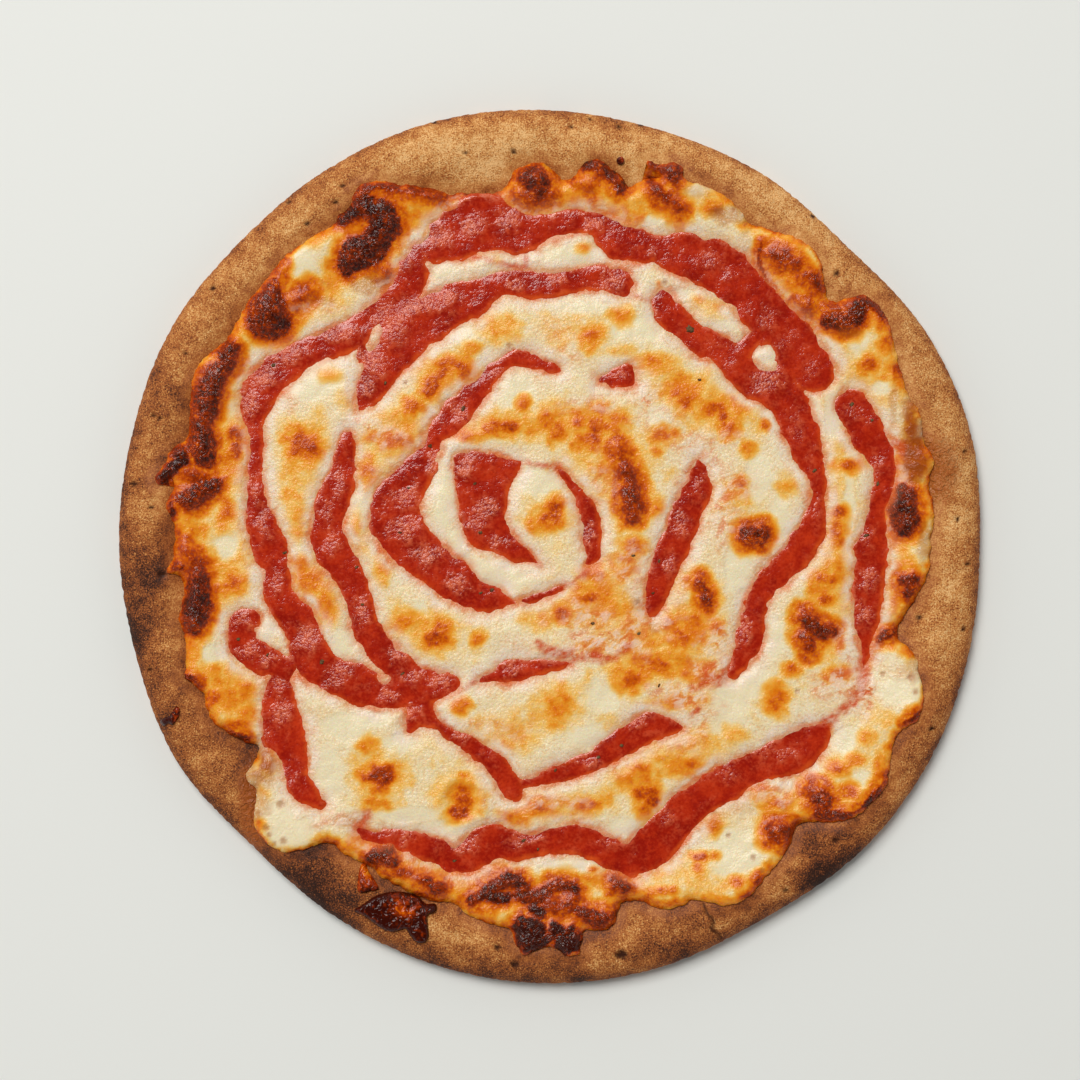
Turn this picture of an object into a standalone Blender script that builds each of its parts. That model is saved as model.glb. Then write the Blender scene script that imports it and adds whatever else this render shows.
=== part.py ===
"""A whole, uncut cheese pizza, 305 mm across and about 12 mm high.

A hand-stretched crust with a low raised rim carries a layer of melted cheese whose
ragged edge runs part of the way up the rim. Strokes of thick tomato sauce lie on the
cheese as low domes, and a burnt shard of cheese lies on the rim. Lengths are in
millimetres up to the last step, which writes each mesh in metres.
"""

import math

import bmesh
import bpy
import numpy as np
from mathutils import Vector, noise

MM = 0.001
GAP = 0.35  # between the sauce and the cheese below it
CHEESE_GAP = 0.5  # between the cheese and the crust, whose top is curved

# Crust
RIM_STEP_DEG = 15.0
RIM_RADII = (
    150.3, 152.4, 151.3, 147.8, 149.9, 150.6, 152.5, 153.9, 153.1, 151.8, 152.6, 151.0,
    150.3, 149.3, 150.1, 147.2, 149.3, 151.4, 152.4, 151.8, 149.8, 152.0, 152.3, 151.2,
)
CRUST_RAYS = 108
# (inset from the outline, height) from the outer edge up over the rim to the flat middle
RIM_PROFILE = (
    (0.0, 4.2), (1.0, 6.6), (3.0, 8.7), (6.5, 10.3), (11.0, 10.9), (15.0, 10.4),
    (19.0, 9.1), (23.5, 7.3), (28.5, 5.8), (34.0, 5.0),
)
UNDER_PROFILE = ((1.2, 1.6), (3.5, 0.4), (6.5, 0.0))
RIM_BUMP = 0.45  # how far the rim's soft bumps rise and sink
RIM_BUMP_SIZE = 17.0

# Cheese
CHEESE_STEP = 5.5
CHEESE_THICK = 2.6
THINNEST_ON_RIM = 0.55  # share of its thickness left where it has run up the rim
CHEESE_EDGE_THICK = 0.6
CHEESE_ROUNDING = 7.0  # the width over which its edge rises to full thickness
CHEESE_WAVE = 0.3
CHEESE_WAVE_SIZE = 9.0
FLAT_RADIUS = 110.0  # inside it the underside is one flat disc
BLISTER_CLEAR = (4.0, 10.0)  # blisters fade in over this distance from the sauce
CHEESE_EDGE = (
    (133, 5), (133, 16), (131.5, 28), (129, 42), (124, 53), (119, 71), (116.5, 80),
    (109, 87), (97.5, 86), (95, 95), (88.5, 105.3), (78, 109.3), (69, 112.5), (62, 120.5),
    (46, 128), (33, 127), (28, 124.5), (22, 131), (16, 134), (9, 129), (4, 128.5),
    (-4, 133.2), (-12, 130.5), (-18, 123.5), (-30, 123.3), (-46, 125.4), (-60, 126.8),
    (-68, 122), (-73, 115), (-84, 106.5), (-97, 94), (-107, 80.5), (-117, 67.5),
    (-123.3, 59), (-125.3, 45), (-131, 32), (-130, 22), (-133, 14.5), (-130, 5),
    (-131.5, -7), (-127, -15), (-128.6, -25), (-126, -38), (-126, -45.5), (-119, -56),
    (-111.5, -64.5), (-102.5, -69.5), (-105.5, -78), (-104, -90), (-98, -102),
    (-88, -105.3), (-77, -102.8), (-66.5, -109), (-55, -115), (-38, -121), (-28, -128),
    (-13, -133.5), (-8, -139), (5, -139.5), (12, -133), (22, -131), (26, -123.5),
    (43, -125), (60, -124), (71, -119), (79, -109), (87, -96), (104, -94), (115.5, -84.5),
    (118, -73), (123, -62), (129.3, -55), (127.5, -40), (121, -30), (127, -18),
    (131.5, -7),
)
# Burnt and browned swellings: (x, y, half length, half width, turn in degrees, height)
BLISTERS = (
    (-5, 126, 8, 7, 0, 2.4), (-60, 105, 9, 6, 60, 2.4), (-67, 119, 5, 4, 140, 2.0),
    (-97, 83, 11, 8, 100, 2.6), (-110.5, 66, 6, 5, 90, 2.0), (-118, 53, 10, 5, 100, 2.4),
    (-120, 36, 9, 6, 90, 2.4), (-127, 32, 4, 4, 0, 1.6), (-121.5, 19, 8, 6, 0, 2.2),
    (-121.5, -19, 11, 5, 90, 2.6), (-105, -65, 7, 3, 150, 1.2), (-58, -108, 5, 5, 0, 1.8),
    (-42, -116, 5, 4, 0, 1.6), (-24, -121, 5, 4, 0, 1.8), (-14, -118, 8, 5, 150, 2.2),
    (-3, -121, 6, 5, 0, 2.2), (6, -118, 6, 4, 0, 2.0), (12, -125, 7, 5, 0, 2.2),
    (-4, -132, 7, 5, 10, 2.0), (97, -89, 7, 5, 10, 2.2), (81, -100, 5, 5, 0, 1.8),
    (125, -12.5, 5, 5, 0, 1.6), (123.5, 12, 9, 6, 90, 2.2), (105, 81, 9, 5, 0, 2.2),
    (80.5, 99.5, 7, 6, 0, 2.4), (90, 92, 5, 5, 0, 1.8), (71, 4, 7, 7, 0, 2.2),
    (28, 18, 11, 5, 100, 2.0), (53.5, -17, 5, 4, 90, 1.4), (93, -28, 8, 6, 90, 2.4),
    (41, 122, 6, 4, 130, 1.4), (-31, -92, 6, 5, 0, 1.6), (-58, -80, 8, 6, 100, 1.6),
    (34, -86, 6, 5, 0, 1.6), (3.5, -55, 7, 6, 90, 1.6), (14, 37, 6, 6, 0, 1.6),
    (0, 11, 8, 7, 0, 1.6), (-36, 60, 7, 5, 150, 1.4), (-62, 27, 7, 4, 90, 1.2),
    (58, 45, 7, 5, 150, 1.4), (-86, 36, 7, 6, 90, 1.6), (-39, -31, 6, 5, 0, 1.4),
    (78, -52, 5, 5, 0, 1.2), (55, -108, 6, 5, 0, 1.2),
)

# Sauce: strokes of (x, y, half width), from one end to the other
SAUCE_STEP = 4.0
SAUCE_RISE = 1.6
SAUCE_EDGE_RISE = 0.25
SAUCE_ROUNDING = 5.0
LEAST_HALF_WIDTH = 2.2  # thinner tails are drawn this wide
OUTER_TOP = (
    (-39, 105, 5), (-31, 109, 8.5), (-22, 112, 9), (-9, 109.5, 5.5), (7, 112.5, 3.5),
    (17, 111.5, 4), (24, 106.5, 6), (34, 103.5, 4),
)
UPPER_RIGHT = (
    (38, 103.5, 4), (47, 101, 7.5), (62, 94.5, 8.5), (75, 81, 7.5), (87, 67, 8),
    (92, 61, 7),
)
RIGHT_LONG = (
    (40, 85, 4), (48, 75, 4), (61, 67.5, 4.5), (72, 57, 5.5), (80, 54, 6.5), (87, 41, 6),
    (92, 27, 3.4), (92.5, 12, 3.2), (86, -2, 4.6), (74.5, -14.5, 4.2), (70.3, -27, 4.2),
    (69, -34, 4.4), (65, -42, 2.2),
)
LEFT_LONG = (
    (-45.5, 103, 2.5), (-48.5, 91, 5.5), (-59, 80.5, 5), (-73, 72, 4.8), (-88, 65, 4.8),
    (-99, 57, 5.3), (-102.8, 45, 3.5), (-102, 30, 2.3), (-101.5, 15, 3.8), (-97.3, 0, 5.6),
    (-94.7, -15, 4.6), (-86.5, -26.5, 5.8), (-82, -40, 6.5), (-67, -47.5, 6.5),
    (-51, -51.5, 4),
)
SECOND_RING = (
    (27, 88.5, 2.2), (18, 93.2, 4.2), (1, 91.5, 4), (-15, 91.5, 4.3), (-29, 85.5, 6.5),
    (-45, 77, 8), (-57, 64, 6.8), (-64, 51.5, 3.2), (-66, 48, 2.2),
)
LEFT_RING = (
    (-69.5, 38, 2.2), (-71.5, 27, 4), (-75.5, 14, 5.4), (-76, 0, 6), (-68.5, -12, 4.8),
    (-64.5, -25, 4.3), (-56, -38.5, 5), (-44, -48.5, 6), (-33.5, -48, 2.5),
)
LEFT_HOOK = ((-103.5, -26, 3), (-107, -31, 4.6), (-101, -38.5, 5), (-91, -42, 3.4))
LEFT_BAR = (
    (-92, -42, 3.2), (-93.8, -52, 5), (-92.5, -63.5, 7), (-88.5, -75, 4), (-85.5, -85, 3.4),
    (-80, -89.5, 2.2),
)
LOWER_LEFT = (
    (-45, -55, 4.5), (-43, -61, 4), (-33, -65.5, 2.2), (-21, -72.5, 3), (-13.5, -82.5, 4.3),
)
LOWER_RIGHT = (
    (-9, -82.5, 2.2), (1, -79.8, 2.8), (15, -74.8, 3.4), (28, -66.5, 5), (35, -63, 5),
    (44, -63, 2.2),
)
RIGHT_OUTER = (
    (104.5, 49, 5.5), (111, 38, 5.5), (116, 28, 4), (114, 14, 3), (112.3, 0, 5.8),
    (110.8, -18, 5), (109.8, -34, 2.2),
)
BOTTOM = (
    (94.5, -65, 3), (84, -72, 6.5), (68, -78.5, 5.3), (54, -86.5, 6), (42, -98, 6.5),
    (30, -108, 6.2), (20, -105.5, 4.8), (4, -101.5, 4.8), (-12, -103.8, 4.8),
    (-27, -107, 5.8), (-40, -105.5, 4.5), (-54, -101.5, 2.7), (-65, -99, 2.2),
)
THIRD_RING = (
    (0, 62.5, 2.2), (-10, 65, 2.7), (-19, 61, 2.6), (-30, 48.5, 4.8), (-40, 38, 3),
    (-46, 26.5, 5.2), (-53.5, 11, 9), (-47.5, 0, 8), (-33, -12, 6.8), (-19.5, -18, 4),
    (-8, -19, 2.2),
)
INNER_ARC = ((8, 21.5, 2.2), (13, 13, 2.8), (15, 1, 2.8), (14, -5, 2.2))
BAR = ((52, 27.5, 2.5), (51.3, 20, 4.6), (46.5, 8, 4.9), (41, -5, 4.9), (36, -21, 2.3))
LOWER_DASH = ((-22, -46, 2.2), (-11, -43, 3.1), (1, -41.5, 2.2))
DAB = ((20, 58, 2.4), (27, 59, 3.3))
HEART = (
    (-33, 31), (-22, 32.3), (-10.5, 29), (-15.3, 18), (-14.8, 10), (-11, 1.5), (-4, -6),
    (-14, -4), (-26, 1), (-31, 13),
)
SAUCE_NODES = {
    "sauce_network": (
        OUTER_TOP, UPPER_RIGHT, RIGHT_LONG, LEFT_LONG, SECOND_RING, LEFT_RING, LEFT_HOOK,
        LEFT_BAR, LOWER_LEFT, LOWER_RIGHT,
    ),
    "sauce_right": (RIGHT_OUTER,),
    "sauce_bottom": (BOTTOM,),
    "sauce_ring": (THIRD_RING,),
    "sauce_arc": (INNER_ARC,),
    "sauce_bar": (BAR,),
    "sauce_dash": (LOWER_DASH,),
    "sauce_dab": (DAB,),
}

# Burnt shard of cheese on the rim, bottom left
SHARD_STEP = 2.5
SHARD_THICK = 1.3
SHARD = (
    (-68, -127), (-62, -124), (-57, -122.5), (-50, -122.5), (-44, -125.5), (-40.5, -126.5),
    (-42, -134.5), (-46.5, -136.5), (-52, -132.5), (-58, -132.5), (-63, -129.5),
)

MATERIALS = {  # colour, roughness
    "baked_crust": ((0.50, 0.24, 0.08), 0.75),
    "melted_cheese": ((0.80, 0.66, 0.36), 0.4),
    "tomato_sauce": ((0.42, 0.03, 0.01), 0.3),
    "burnt_cheese": ((0.08, 0.012, 0.006), 0.3),
}


def curve_point(a, b, c, d, share):
    """The point at that share of the way from b to c, on a smooth curve through all four."""
    turn = 2 * a - 5 * b + 4 * c - d
    bend = 3 * b - a - 3 * c + d
    return 0.5 * (2 * b + (c - a) * share + turn * share**2 + bend * share**3)


def smooth_loop(points, per_span=4):
    """More points on a closed smooth curve through those given."""
    points = np.array(points, float)
    count = len(points)
    return np.array([
        curve_point(*(points[(i + k) % count] for k in (-1, 0, 1, 2)), step / per_span)
        for i in range(count)
        for step in range(per_span)
    ])


def smooth_path(points, per_span=4):
    """More points on an open smooth curve through those given."""
    points = np.array(points, float)
    last = len(points) - 1
    found = [
        curve_point(*(points[min(max(i + k, 0), last)] for k in (-1, 0, 1, 2)), step / per_span)
        for i in range(last)
        for step in range(per_span)
    ]
    return np.array(found + [points[last]])


def waves(x, y, size, seed):
    """Smooth bumps between about -1 and 1, the same on each run."""
    flat = [
        2 * noise.noise(Vector((px / size, py / size, seed)))
        for px, py in zip(np.ravel(x), np.ravel(y))
    ]
    return np.reshape(flat, np.shape(x))


def eased(value, low, high):
    """0 below low, 1 above high, and smooth between."""
    share = np.clip((value - low) / (high - low), 0, 1)
    return share * share * (3 - 2 * share)


def rim_radius(angle):
    """The crust's outer radius in that direction, in radians from +X."""
    place = np.degrees(angle) / RIM_STEP_DEG % len(RIM_RADII)
    span = np.floor(place).astype(int)
    radii = np.array(RIM_RADII)
    four = [radii[(span + k) % len(radii)] for k in (-1, 0, 1, 2)]
    return curve_point(*four, place - span)


def crust_top(x, y):
    """Height of the crust's upper surface."""
    inset = rim_radius(np.arctan2(y, x)) - np.hypot(x, y)
    insets, heights = zip(*RIM_PROFILE)
    on_rim = eased(inset, 0.5, 5.0) * (1 - eased(inset, 22.0, 32.0))
    return np.interp(inset, insets, heights) + RIM_BUMP * on_rim * waves(x, y, RIM_BUMP_SIZE, 3.3)


def distance_to_loop(x, y, loop):
    """Distance to a closed outline, negative inside it."""
    starts = loop
    ends = np.roll(loop, -1, axis=0)
    along = ends - starts
    px = x[..., None] - starts[:, 0]
    py = y[..., None] - starts[:, 1]
    share = np.clip((px * along[:, 0] + py * along[:, 1]) / (along**2).sum(1), 0, 1)
    gap = np.hypot(px - share * along[:, 0], py - share * along[:, 1]).min(-1)
    crosses = (starts[:, 1] > y[..., None]) != (ends[:, 1] > y[..., None])
    rise = np.where(along[:, 1] == 0, 1, along[:, 1])
    left = px < along[:, 0] * py / rise
    inside = (crosses & left).sum(-1) % 2 == 1
    return np.where(inside, -gap, gap)


def distance_to_stroke(x, y, stroke):
    """Distance to the edge of a stroke of varying width, negative inside it."""
    path = smooth_path(stroke)
    starts = path[:-1]
    along = path[1:] - starts
    px = x[..., None] - starts[:, 0]
    py = y[..., None] - starts[:, 1]
    length = (along[:, :2] ** 2).sum(1)
    share = np.clip((px * along[:, 0] + py * along[:, 1]) / length, 0, 1)
    half = np.maximum(starts[:, 2] + share * along[:, 2], LEAST_HALF_WIDTH)
    return (np.hypot(px - share * along[:, 0], py - share * along[:, 1]) - half).min(-1)


def distance_to_strokes(x, y, strokes):
    return np.min([distance_to_stroke(x, y, stroke) for stroke in strokes], axis=0)


def distance_to_sauce(x, y):
    """Distance to the nearest edge of any of the sauce."""
    found = [distance_to_strokes(x, y, strokes) for strokes in SAUCE_NODES.values()]
    return np.min(found + [distance_to_loop(x, y, smooth_loop(HEART))], axis=0)


def cheese_thickness(x, y):
    """How thick the cheese is away from its edge, thinner where it has run up the rim."""
    climb = eased(crust_top(x, y), RIM_PROFILE[-1][1] + 1.0, RIM_PROFILE[-1][1] + 5.0)
    return CHEESE_THICK * (1 - (1 - THINNEST_ON_RIM) * climb)


def cheese_base(x, y):
    """Height of the cheese away from its edge, before blisters."""
    return crust_top(x, y) + CHEESE_GAP + cheese_thickness(x, y)


def cheese_top(x, y, edge_distance):
    """Height of the cheese, whose edge is rounded and whose blisters keep off the sauce."""
    rounding = np.clip(-edge_distance / CHEESE_ROUNDING, 0, 1)
    full = cheese_thickness(x, y)
    thick = CHEESE_EDGE_THICK + (full - CHEESE_EDGE_THICK) * np.sqrt(1 - (1 - rounding) ** 2)
    relief = CHEESE_WAVE * waves(x, y, CHEESE_WAVE_SIZE, 7.7)
    for bx, by, half_long, half_wide, turn, rise in BLISTERS:
        c, s = math.cos(math.radians(turn)), math.sin(math.radians(turn))
        along = ((x - bx) * c + (y - by) * s) / half_long
        across = ((y - by) * c - (x - bx) * s) / half_wide
        relief = relief + rise * np.exp(-1.2 * (along**2 + across**2))
    relief = relief * eased(distance_to_sauce(x, y), *BLISTER_CLEAR) * full / CHEESE_THICK
    return crust_top(x, y) + CHEESE_GAP + thick + relief * eased(-edge_distance, 0.0, 3.0)


def grid_over(loop_or_strokes, step, margin=3.0):
    """Grid lines that cover these points, as two arrays of x and y."""
    points = np.concatenate([np.array(p, float)[:, :2] for p in loop_or_strokes])
    reach = 12.0 + margin
    low, high = points.min(0) - reach, points.max(0) + reach
    xs = np.arange(low[0], high[0] + step, step)
    ys = np.arange(low[1], high[1] + step, step)
    return np.meshgrid(xs, ys, indexing="ij")


def reached(free, starts, steps):
    """The grid places that a walk from starts can reach over free ones."""
    seen = np.zeros_like(free)
    queue = [place for place in starts if free[place]]
    for place in queue:
        seen[place] = True
    while queue:
        i, j = queue.pop()
        for di, dj in steps:
            place = (i + di, j + dj)
            inside = 0 <= place[0] < free.shape[0] and 0 <= place[1] < free.shape[1]
            if inside and free[place] and not seen[place]:
                seen[place] = True
                queue.append(place)
    return seen


def one_patch(values, step):
    """values with small holes filled and loose scraps dropped, and none too near zero."""
    sides = ((1, 0), (-1, 0), (0, 1), (0, -1))
    corners = sides + ((1, 1), (1, -1), (-1, 1), (-1, -1))
    least = 0.16 * step
    values = np.where(values < 0, np.minimum(values, -least), np.maximum(values, least))
    outside = reached(values > 0, [(0, 0)], sides)
    values = np.where((values > 0) & ~outside, -least, values)
    best = None
    left = values < 0
    while left.any():
        patch = reached(values < 0, [tuple(np.argwhere(left)[0])], corners)
        left = left & ~patch
        if best is None or patch.sum() > best.sum():
            best = patch
    return np.where((values < 0) & ~best, least, values)


def cells_inside(x, y, values):
    """Points and faces over the area where values is negative, cut cleanly along its edge."""
    index, points, faces = {}, [], []

    def add(key, point):
        if key not in index:
            index[key] = len(points)
            points.append(point)
        return index[key]

    def crossing(a, b):
        key = (min(a, b), max(a, b))
        share = values[a] / (values[a] - values[b])
        point = [grid[a] + share * (grid[b] - grid[a]) for grid in (x, y)]
        return add(key, point)

    for i in range(values.shape[0] - 1):
        for j in range(values.shape[1] - 1):
            ring = ((i, j), (i + 1, j), (i + 1, j + 1), (i, j + 1))
            if not any(values[place] < 0 for place in ring):
                continue
            face = []
            for a, b in zip(ring, ring[1:] + ring[:1]):
                if values[a] < 0:
                    face.append(add(a, [x[a], y[a]]))
                if (values[a] < 0) != (values[b] < 0):
                    face.append(crossing(a, b))
            faces.append(face)
    return np.array(points), faces


def edge_loop(faces):
    """The outline of the faces, in the order they turn."""
    after = {}
    used = set()
    for face in faces:
        used.update(zip(face, face[1:] + face[:1]))
    for a, b in used:
        if (b, a) not in used:
            after[a] = b
    start = min(after)
    loop = [start]
    while after[loop[-1]] != start:
        loop.append(after[loop[-1]])
    return loop


def add_object(name, material, points, faces):
    """A named object from points in millimetres, with smooth shading."""
    mesh = bpy.data.meshes.new(name)
    mesh.from_pydata([Vector(p) * MM for p in points], [], faces)
    shell = bmesh.new()
    shell.from_mesh(mesh)
    bmesh.ops.triangulate(shell, faces=shell.faces[:])
    shell.to_mesh(mesh)
    shell.free()
    mesh.shade_smooth()
    mesh.set_sharp_from_angle(angle=math.radians(50))
    mesh.materials.append(material)
    obj = bpy.data.objects.new(name, mesh)
    bpy.context.scene.collection.objects.link(obj)
    return obj


def make_material(name, colour, roughness):
    material = bpy.data.materials.new(name)
    material.use_nodes = True
    shader = material.node_tree.nodes["Principled BSDF"]
    shader.inputs["Base Color"].default_value = (*colour, 1.0)
    shader.inputs["Roughness"].default_value = roughness
    shader.inputs["Metallic"].default_value = 0.0
    return material


def make_crust(material):
    """Rings of points from the middle of the top, over the rim, to the middle of the base."""
    angles = np.arange(CRUST_RAYS) * 2 * math.pi / CRUST_RAYS
    outer = rim_radius(angles)
    c, s = np.cos(angles), np.sin(angles)
    rings = []
    for inset, _ in reversed(RIM_PROFILE):
        radius = outer - inset
        rings.append(np.stack([radius * c, radius * s, crust_top(radius * c, radius * s)], 1))
    for inset, height in UNDER_PROFILE:
        radius = outer - inset
        rings.append(np.stack([radius * c, radius * s, np.full(CRUST_RAYS, height)], 1))
    points = [(0.0, 0.0, RIM_PROFILE[-1][1])] + [tuple(p) for ring in rings for p in ring]
    points.append((0.0, 0.0, 0.0))
    last = len(points) - 1
    faces = []
    for i in range(CRUST_RAYS):
        j = (i + 1) % CRUST_RAYS
        faces.append([0, 1 + i, 1 + j])
        for ring in range(len(rings) - 1):
            inner, next_out = 1 + ring * CRUST_RAYS, 1 + (ring + 1) * CRUST_RAYS
            faces.append([inner + i, next_out + i, next_out + j, inner + j])
        base = 1 + (len(rings) - 1) * CRUST_RAYS
        faces.append([last, base + j, base + i])
    add_object("crust", material, points, faces)


def make_cheese(material):
    """The cheese: a grid above, cut at its ragged edge, and rings below that follow the crust."""
    outline = smooth_loop(CHEESE_EDGE)
    x, y = grid_over([outline], CHEESE_STEP)
    values = one_patch(distance_to_loop(x, y, outline), CHEESE_STEP)
    flat, faces = cells_inside(x, y, values)
    loop = edge_loop(faces)
    distance = distance_to_loop(flat[:, 0], flat[:, 1], outline)
    distance[loop] = 0.0
    top = cheese_top(flat[:, 0], flat[:, 1], distance)
    points = [(px, py, pz) for (px, py), pz in zip(flat, top)]
    edge = flat[loop]
    angle = np.arctan2(edge[:, 1], edge[:, 0])
    inner = np.stack([FLAT_RADIUS * np.cos(angle), FLAT_RADIUS * np.sin(angle)], 1)
    above = loop
    for ring in (edge, edge * 0.965, edge * 0.92, inner):
        heights = crust_top(ring[:, 0], ring[:, 1]) + CHEESE_GAP
        below = list(range(len(points), len(points) + len(ring)))
        points += [(px, py, pz) for (px, py), pz in zip(ring, heights)]
        for k in range(len(ring)):
            n = (k + 1) % len(ring)
            faces.append([above[n], above[k], below[k], below[n]])
        above = below
    centre = len(points)
    points.append((0.0, 0.0, RIM_PROFILE[-1][1] + CHEESE_GAP))
    for k in range(len(above)):
        faces.append([above[(k + 1) % len(above)], above[k], centre])
    add_object("cheese", material, points, faces)


def make_sauce(name, material, outlines, distance_to):
    """Sauce as a low dome with a thin foot all round and a flat underside on the cheese."""
    x, y = grid_over(outlines, SAUCE_STEP)
    flat, faces = cells_inside(x, y, one_patch(distance_to(x, y), SAUCE_STEP))
    loop = edge_loop(faces)
    depth = np.clip(-distance_to(flat[:, 0], flat[:, 1]) / SAUCE_ROUNDING, 0, 1)
    low = cheese_base(flat[:, 0], flat[:, 1]) + GAP
    high = low + SAUCE_EDGE_RISE + SAUCE_RISE * (1 - (1 - depth) ** 2)
    points = [(px, py, pz) for (px, py), pz in zip(flat, high)]
    foot = list(range(len(points), len(points) + len(loop)))
    points += [(*flat[k], low[k]) for k in loop]
    for k, under in enumerate(foot):
        n = (k + 1) % len(loop)
        faces.append([loop[n], loop[k], under, foot[n]])
    add_object(name, material, points, faces + [foot[::-1]])


def make_shard(material):
    """A thin burnt plate that follows the rim below it."""
    outline = smooth_loop(SHARD)
    x, y = grid_over([outline], SHARD_STEP)
    values = one_patch(distance_to_loop(x, y, outline), SHARD_STEP)
    flat, faces = cells_inside(x, y, values)
    loop = edge_loop(faces)
    low = crust_top(flat[:, 0], flat[:, 1]) + CHEESE_GAP
    thick = SHARD_THICK * (1 + 0.35 * waves(flat[:, 0], flat[:, 1], 5.0, 1.1))
    thick[loop] *= 0.6
    count = len(flat)
    points = [(px, py, pz) for (px, py), pz in zip(flat, low + thick)]
    points += [(px, py, pz) for (px, py), pz in zip(flat, low)]
    under = [[count + k for k in reversed(face)] for face in faces]
    walls = [[b, a, count + a, count + b] for a, b in zip(loop, loop[1:] + loop[:1])]
    add_object("burnt_shard", material, points, faces + under + walls)


def main():
    for obj in list(bpy.data.objects):
        bpy.data.objects.remove(obj)
    made = {name: make_material(name, *look) for name, look in MATERIALS.items()}
    make_crust(made["baked_crust"])
    make_cheese(made["melted_cheese"])
    for name, strokes in SAUCE_NODES.items():
        make_sauce(
            name, made["tomato_sauce"], strokes,
            lambda x, y, strokes=strokes: distance_to_strokes(x, y, strokes),
        )
    heart = smooth_loop(HEART)
    make_sauce(
        "sauce_heart", made["tomato_sauce"], [heart],
        lambda x, y: distance_to_loop(x, y, heart),
    )
    make_shard(made["burnt_cheese"])


main()
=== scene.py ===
"""The looks of a whole cheese pizza: baked crust, melted and browned cheese, strokes of
tomato sauce, burnt blisters, herb flecks. Lengths are in millimetres until a mesh is
written, which is in metres. +X is to the right and +Y is up in the picture."""

import math
from contextlib import contextmanager

import bpy
import numpy as np
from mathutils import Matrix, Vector, noise


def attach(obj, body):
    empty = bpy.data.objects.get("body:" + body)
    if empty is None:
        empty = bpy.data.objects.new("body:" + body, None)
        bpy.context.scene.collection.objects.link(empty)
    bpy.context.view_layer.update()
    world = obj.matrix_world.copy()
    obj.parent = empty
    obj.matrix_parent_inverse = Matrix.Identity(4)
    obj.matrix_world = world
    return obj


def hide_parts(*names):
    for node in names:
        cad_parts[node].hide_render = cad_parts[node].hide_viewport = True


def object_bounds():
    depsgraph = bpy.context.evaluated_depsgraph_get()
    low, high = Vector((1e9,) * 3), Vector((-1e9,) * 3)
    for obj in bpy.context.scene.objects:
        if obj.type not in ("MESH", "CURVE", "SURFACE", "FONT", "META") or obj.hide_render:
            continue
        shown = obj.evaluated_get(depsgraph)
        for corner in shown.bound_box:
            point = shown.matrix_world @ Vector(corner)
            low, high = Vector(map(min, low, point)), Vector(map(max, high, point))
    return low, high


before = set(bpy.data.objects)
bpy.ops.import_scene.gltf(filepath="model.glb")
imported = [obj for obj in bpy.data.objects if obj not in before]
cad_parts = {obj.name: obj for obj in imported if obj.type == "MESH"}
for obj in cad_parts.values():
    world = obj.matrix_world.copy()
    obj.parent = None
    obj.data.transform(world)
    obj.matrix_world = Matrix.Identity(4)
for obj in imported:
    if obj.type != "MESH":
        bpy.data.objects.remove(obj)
cad_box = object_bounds()

MM = 0.001

# ---------------------------------------------------------------- camera and light
FRAME_WIDTH = 375.84  # what the picture spans, on the plane of the cheese
LENS_MM, SENSOR_MM = 85.0, 36.0
VIEW_CENTRE = (-3.3, 2.4)
VIEW_PLANE = 6.5
ROOM_GLOW = 0.80  # brightness of the pale room low down
OVERHEAD_SHARE = 0.06  # what is left of it overhead
DAYLIGHT = (1.0, 0.99, 0.97)
# The window's place and width are in metres, its power in watts
WINDOW_PLACE = (-0.93, 1.5, 2.925)
WINDOW_WIDTH = 1.725
WINDOW_POWER = 98.0
FLOOR_WIDTH = 6.0  # metres

# ---------------------------------------------------------------- crust
RIM_STEP_DEG = 15.0
RIM_RADII = (
    150.3, 152.4, 151.3, 147.8, 149.9, 150.6, 152.5, 153.9, 153.1, 151.8, 152.6, 151.0,
    150.3, 149.3, 150.1, 147.2, 149.3, 151.4, 152.4, 151.8, 149.8, 152.0, 152.3, 151.2,
)
RIM_PROFILE = (
    (0.0, 4.2), (1.0, 6.6), (3.0, 8.7), (6.5, 10.3), (11.0, 10.9), (15.0, 10.4),
    (19.0, 9.1), (23.5, 7.3), (28.5, 5.8), (34.0, 5.0),
)
RIM_BUMP, RIM_BUMP_SIZE = 0.45, 17.0
CRUST_POINTS_ROUND = 1080
CRUST_RADIUS = 150.0  # about its mean
START_RADIUS = 100.0  # of the circle that every ring is extruded from, before it is moved
# Rings round the base and up the rounded side: (inset, height)
CRUST_UNDERSIDE = (
    (46.0, 0.0), (24.0, 0.0), (12.0, 0.0), (6.5, 0.0), (4.6, 0.25), (3.2, 0.65), (2.0, 1.3),
    (1.1, 2.1), (0.5, 3.0), (0.1, 3.9),
)
CRUST_SIDE = ((0.0, 4.6), (0.15, 5.2), (0.45, 5.9), (0.85, 6.5))
CRUST_TOP_INSETS = np.arange(1.3, 42.0, 0.85)
PIT_DEPTH = 1.1
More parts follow.
